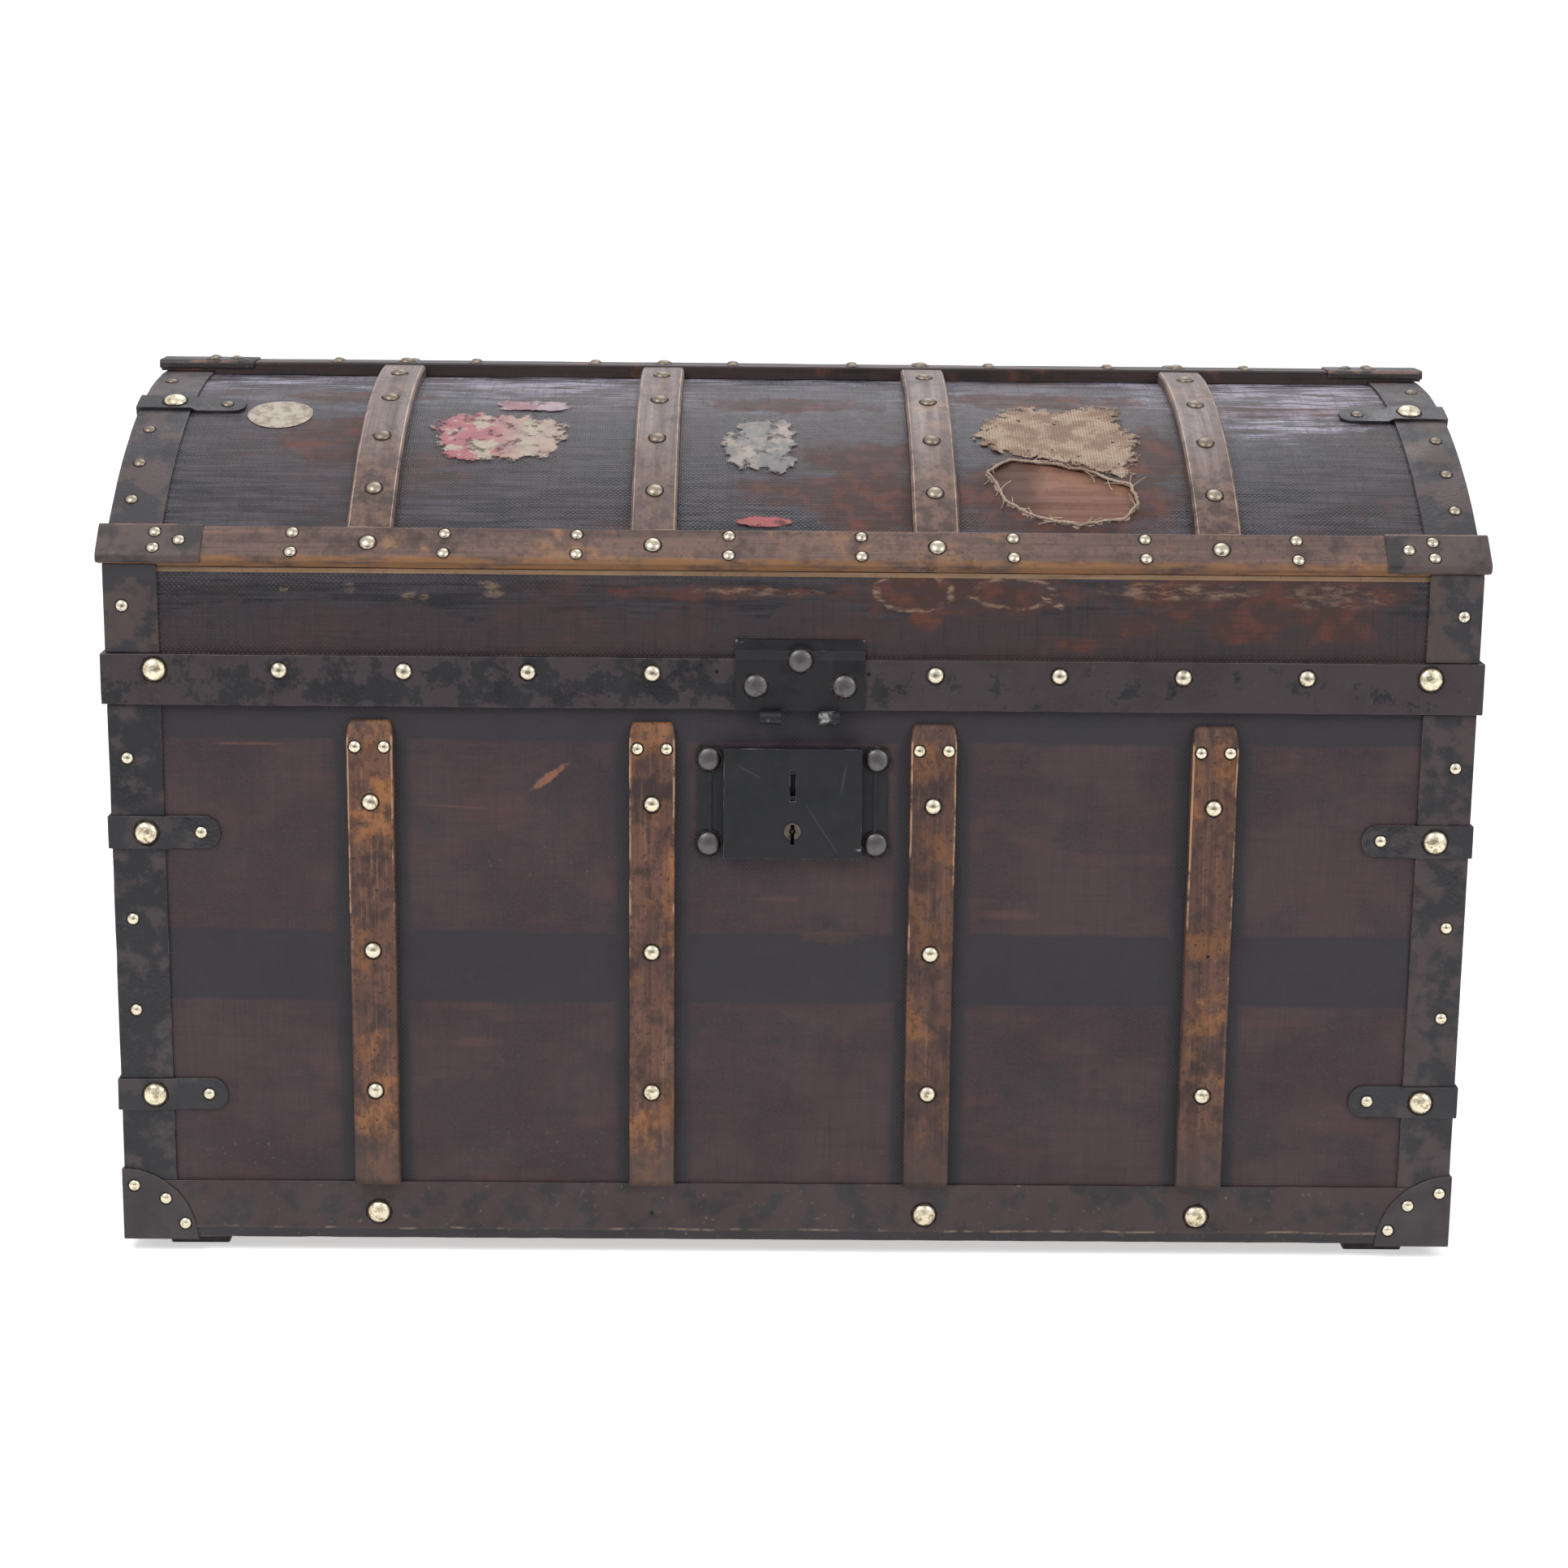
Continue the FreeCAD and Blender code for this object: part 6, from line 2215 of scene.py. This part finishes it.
@dataclass
class Nails:
    """Domed nail heads, one piece for each node of nails, with dark rings of dirt and painted shadow round
    them.
    """

    chance: random.Random = field(default_factory=lambda: random.Random(12))
    weld: float = 0.001
    smallest: float = 0.94
    tilt: float = 0.05
    # dark rings round the heads, of dirt and painted shadow
    dark_ring_share: float = 1.15
    dark_ring_height: float = 0.00012
    dark_ring_facets: int = 14
    dark_ring_uneven: float = 0.12
    missing: tuple[Triple, ...] = ((0.275, -0.258, 0.214), (-0.0917, -0.252, 0.029))
    miss_within: float = 0.02
    # empty holes are small dark discs of painted shade
    hole_radius: float = 0.0013
    rim_holes: tuple[Pair, ...] = ((-0.05, 0.4), (0.0485, 0.399))

    def head_mesh(self, facets: int, rings: int, rise: float) -> bpy.types.Mesh:
        """A domed head of unit radius, spun from its outline.

        Args:
            facets: the faces round it.
            rings: the faces from rim to crown.
            rise: how high it rises.

        Returns:
            Its mesh.
        """
        shape = bmesh.new()
        line = [shape.verts.new(NOWHERE)]
        for ring in range(rings + 1):
            turn = ring / rings * math.pi / 2
            line.append(shape.verts.new((math.cos(turn), 0.0, rise * math.sin(turn))))
        edges = [shape.edges.new(pair) for pair in zip(line, line[1:])]
        bmesh.ops.spin(
            shape, geom=line + edges, cent=NOWHERE, axis=(0.0, 0.0, 1.0), angle=2 * math.pi, steps=facets,
            use_merge=True)
        bmesh.ops.remove_doubles(shape, verts=shape.verts, dist=self.weld)
        bmesh.ops.recalc_face_normals(shape, faces=shape.faces)
        return to_mesh(shape, "head")

    def grime_and_shade_mesh(self) -> bpy.types.Mesh:
        """An uneven dark disc of unit radius, of dirt and painted shade.

        Returns:
            Its mesh.
        """
        shape = bmesh.new()
        bmesh.ops.create_circle(shape, cap_ends=True, segments=self.dark_ring_facets, radius=1.0)
        for vert in shape.verts:
            vert.co *= 1.0 + self.dark_ring_uneven * noise.noise(vert.co * 2.0)
        for face in shape.faces:
            face.material_index = 1
        return to_mesh(shape, "grime")

    def is_missing(self, head: NailHead) -> bool:
        """Whether the nail has fallen out."""
        return any((Vector(place) - head.centre).length < self.miss_within for place in self.missing)

    def drive(self, node: str, body: Body, slot: str, form: tuple[int, int, float], finish: Finish) -> None:
        """Builds the heads of one node.

        Args:
            node: the node's name.
            body: the body that they ride on.
            slot: their material slot.
            form: the faces round each head, those from rim to crown, and its rise.
            finish: their metal.
        """
        head_part = self.head_mesh(*form)
        grime_and_shade_part = self.grime_and_shade_mesh()
        shape = bmesh.new()
        for head in nail_heads(node):
            aim = head.out.to_track_quat("Z", "Y").to_matrix().to_4x4()
            spin = Matrix.Rotation(self.chance.uniform(0.0, 2 * math.pi), 4, "Z")
            seat = Matrix.Translation(head.centre + head.out * self.dark_ring_height) @ aim @ spin
            lean = Matrix.Rotation(self.chance.uniform(-self.tilt, self.tilt), 4, "X")
            size = head.radius * self.chance.uniform(self.smallest, 1.0)
            # an empty hole: a small dark disc, painted shade where the nail was
            if self.is_missing(head):
                join_shape(shape, grime_and_shade_part, seat @ Matrix.Scale(self.hole_radius, 4))
                continue
            # a dark ring round the head: dirt and painted shadow at its rim
            join_shape(shape, grime_and_shade_part, seat @ Matrix.Scale(head.radius * self.dark_ring_share, 4))
            join_shape(shape, head_part, seat @ lean @ Matrix.Scale(size, 4))
        if node == "lid_small_nails":
            self.open_holes(shape, grime_and_shade_part)
        bpy.data.meshes.remove(head_part)
        bpy.data.meshes.remove(grime_and_shade_part)
        Piece("domed_" + node, body, slot, (node,)).place(shape, finish, GRIME_AND_SHADE, crease=60.0)

    def open_holes(self, shape: BMesh, part: bpy.types.Mesh) -> None:
        """Adds the empty nail holes in front of the rim band, each a small dark disc of painted shade.

        Args:
            shape: the shape that grows.
            part: the dark disc of painted shade that stands for a hole.
        """
        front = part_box("lid_rim_band")[0].y - self.dark_ring_height
        facing = Matrix.Rotation(math.pi / 2, 4, "X") @ Matrix.Scale(self.hole_radius, 4)
        for across, up in self.rim_holes:
            join_shape(shape, part, Matrix.Translation((across, front, up)) @ facing)

    def build(self) -> None:
        """Builds all the nails, studs and rivets."""
        small, medium, large = (10, 3, 0.46), (12, 4, 0.5), (18, 6, 0.52)
        stud, rivet = (16, 5, 0.36), (14, 4, 0.5)
        for size, form, case_brass, lid_brass in (
                ("small", small, BRASS, LID_BRASS),
                ("medium", medium, BRASS, LID_BRASS),
                ("large", large, ROSETTE_BRASS, ROSETTE_BRASS)):
            self.drive(f"body_{size}_nails", Body.CASE, "brass", form, case_brass)
            self.drive(f"lid_{size}_nails", Body.LID, "brass", form, lid_brass)
        self.drive("lock_studs", Body.CASE, "steel", stud, STUD_IRON)
        self.drive("hasp_studs", Body.LID, "black_iron", stud, STUD_IRON)
        self.drive("handle_rivets", Body.CASE, "steel", rivet, STEEL)


@dataclass
class Ironwork:
    """The lock, the hasp's plate, the hinges and the handles."""

    rounding: float = 0.0005
    fine_rounding: float = 0.00025
    crease: float = 35.0
    hasp_step: float = 0.003
    hasp_corner: float = 0.009
    hasp_knuckle: float = 0.003
    edge_wear: float = 0.5
    corner_wear: float = 0.9
    knuckle_wear: float = 0.35

    def forge(self, node: str, body: Body, slot: str, finish: Finish, rounding: float) -> None:
        """Builds one iron piece from its node.

        Args:
            node: the node's name.
            body: the body that it rides on.
            slot: its material slot.
            finish: its metal.
            rounding: how far its edges are rounded, or 0 to leave them.
        """
        shape = node_copy(node)
        if rounding:
            soften(shape, rounding)
        Piece("worn_" + node, body, slot, (node,)).place(shape, finish, crease=self.crease)

    def hasp(self) -> None:
        """Builds the hasp's plate, rubbed bright on its upper corners and its knuckles."""
        shape = node_copy("hasp_plate")
        soften(shape, self.rounding)
        grid(shape, x=self.hasp_step, z=self.hasp_step)
        low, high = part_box("hasp_plate")
        wear = shape.verts.layers.float[WEAR]
        for vert in shape.verts:
            side = min(vert.co.x - low.x, high.x - vert.co.x)
            corner = 1.0 - max(side, high.z - vert.co.z) / self.hasp_corner
            knuckle = self.knuckle_wear if vert.co.z - low.z < self.hasp_knuckle else 0.0
            vert[wear] = max(vert[wear] * self.edge_wear, corner * self.corner_wear, knuckle)
        piece = Piece("worn_hasp_plate", Body.LID, "black_iron", ("hasp_plate",))
        piece.place(shape, BLACK_IRON, crease=self.crease)

    def build(self) -> None:
        """Builds all the ironwork."""
        self.forge("lock_plate", Body.CASE, "black_iron", LOCK_IRON, self.rounding)
        self.forge("lock_cover", Body.CASE, "black_iron", LOCK_IRON, self.rounding)
        self.forge("lock_bolt", Body.BOLT, "steel", BOLT_STEEL, self.rounding)
        self.forge("keyhole_escutcheon", Body.CASE, "brass", KEYHOLE_BRASS, self.fine_rounding)
        self.hasp()
        self.forge("hinge_body_leaves", Body.CASE, "black_iron", BLACK_IRON, self.rounding)
        self.forge("hinge_lid_leaves", Body.LID, "black_iron", BLACK_IRON, self.rounding)
        self.forge("hinge_pins", Body.CASE, "steel", STEEL, 0.0)
        for side, body in (("left", Body.LEFT_BAIL), ("right", Body.RIGHT_BAIL)):
            self.forge(f"handle_plate_{side}", Body.CASE, "black_iron", BLACK_IRON, self.rounding)
            self.forge(f"handle_bail_{side}", body, "black_iron", BLACK_IRON, 0.0)


@dataclass
class Studio:
    """The floor, the soft lights, the world and the photograph's camera."""

    floor_half: float = 9.0
    floor_drop: float = 0.0005
    frame_pixels: float = 1932.0
    focal_pixels: float = 3800.9
    sensor: float = 36.0
    eye: Triple = (-0.0283, -2.2182, 0.7592)
    pitch: float = 12.4467
    yaw: float = -0.6586
    roll: float = 0.5906
    floor_front: float = 1.25
    world_level: float = 0.58
    front_level: float = 0.36
    front_span: Pair = (-0.9, 0.3)
    sky_span: Pair = (0.2, 1.0)
    sky_gain: float = 0.2
    room_tint: Colour = (0.98, 0.98, 1.03)
    mirrored_eye: Triple = (0.0, -0.985, -0.17)
    mirror_span: Pair = (0.84, 0.975)
    mirror_level: float = 0.15

    def floor(self) -> None:
        """Lays the floor under the runners, up to just in front of the camera's view."""
        shape = bmesh.new()
        middle = self.floor_half - self.floor_front
        placing = Matrix.Translation((0.0, middle, -self.floor_drop)) @ Matrix.Scale(self.floor_half, 4)
        bmesh.ops.create_grid(shape, x_segments=2, y_segments=2, size=1.0, matrix=placing)
        mesh = to_mesh(shape, "floor")
        mesh.materials.append(PALE_FLOOR.material())
        made = link("floor", mesh)

    def lamp(self, name: str, place: Vector, aim: Vector, size: float, power: float) -> None:
        """Hangs one soft lamp.

        Args:
            name: the lamp's name.
            place: where it hangs.
            aim: the point that it faces.
            size: the width of its screen.
            power: its power in watts.
        """
        light = bpy.data.lights.new(name, "AREA")
        light.shape = "DISK"
        light.size = size
        light.energy = power
        made = link(name, light)
        made.location = place
        made.rotation_euler = (aim - place).to_track_quat("-Z", "Y").to_euler()

    def world(self) -> None:
        """Makes a white room that is dimmer, and dark for reflections, where the camera stands."""
        world = bpy.data.worlds.new("white_room")
        world.use_nodes = True
        bpy.context.scene.world = world
        board = Board(world.node_tree)
        board.tree.nodes.clear()
        way = board.add("ShaderNodeTexCoord").outputs["Generated"]
        _, depth, height = board.split(way)
        level = board.slope(depth, *self.front_span, self.front_level, self.world_level)
        level = board.plus(level, board.slope(height, *self.sky_span, 0.0, self.sky_gain))
        facing = board.vector_math("DOT_PRODUCT", way, self.mirrored_eye).outputs["Value"]
        mirrored = board.slope(facing, *self.mirror_span, 1.0, self.mirror_level)
        path = board.add("ShaderNodeLightPath")
        change = board.times(path.outputs["Is Glossy Ray"], board.less(mirrored, level))
        level = board.plus(level, change)
        shown = board.highest(path.outputs["Is Camera Ray"], path.outputs["Is Transmission Ray"])
        strength = board.plus(shown, board.times(level, board.less(1.0, shown)))
        colour = board.mix(shown, self.room_tint, WHITE)
        room = board.add("ShaderNodeBackground", {"Color": colour, "Strength": strength})
        board.add("ShaderNodeOutputWorld", {"Surface": room.outputs[0]})

    def camera(self) -> None:
        """Sets up the camera where the photograph was taken from."""
        pitch, yaw, roll = (math.radians(angle) for angle in (self.pitch, self.yaw, self.roll))
        level = Vector((math.cos(yaw), math.sin(yaw), 0.0))
        ahead = Vector((-math.sin(yaw) * math.cos(pitch), math.cos(yaw) * math.cos(pitch), -math.sin(pitch)))
        upright = level.cross(ahead)
        right = math.cos(roll) * level + math.sin(roll) * upright
        up = -math.sin(roll) * level + math.cos(roll) * upright
        lens = bpy.data.cameras.new("camera")
        lens.sensor_width = self.sensor
        lens.lens = self.sensor * self.focal_pixels / self.frame_pixels
        made = link("camera", lens)
        turned = Matrix((right, up, -ahead)).transposed().to_4x4()
        made.matrix_world = Matrix.Translation(self.eye) @ turned
        bpy.context.scene.camera = made

    def build(self) -> None:
        """Builds the studio."""
        self.floor()
        self.world()
        middle = Vector((0.0, 0.0, 0.3))
        self.lamp("key_lamp", Vector((-1.3, -1.7, 2.3)), middle, 1.4, 36.0)
        self.lamp("fill_lamp", Vector((1.9, -1.5, 1.6)), middle, 1.4, 17.0)
        self.lamp("crest_lamp", Vector((0.2, 1.2, 2.4)), Vector((0.0, 0.0, 0.5)), 1.6, 16.0)
        self.camera()
        bpy.context.scene.view_settings.view_transform = "Standard"


def main() -> None:
    """Builds the trunk piece by piece, then the studio round it."""
    logging.basicConfig(level=logging.INFO, format="%(name)s %(message)s")
    form = LidForm.from_frame()
    Boards().build()
    CaseCanvas().build()
    LidCanvas(form).build()
    Linings(form).build()
    Bindings().build()
    Slats(form).build()
    Nails().build()
    Ironwork().build()
    Studio().build()


if __name__ == "__main__":
    main()
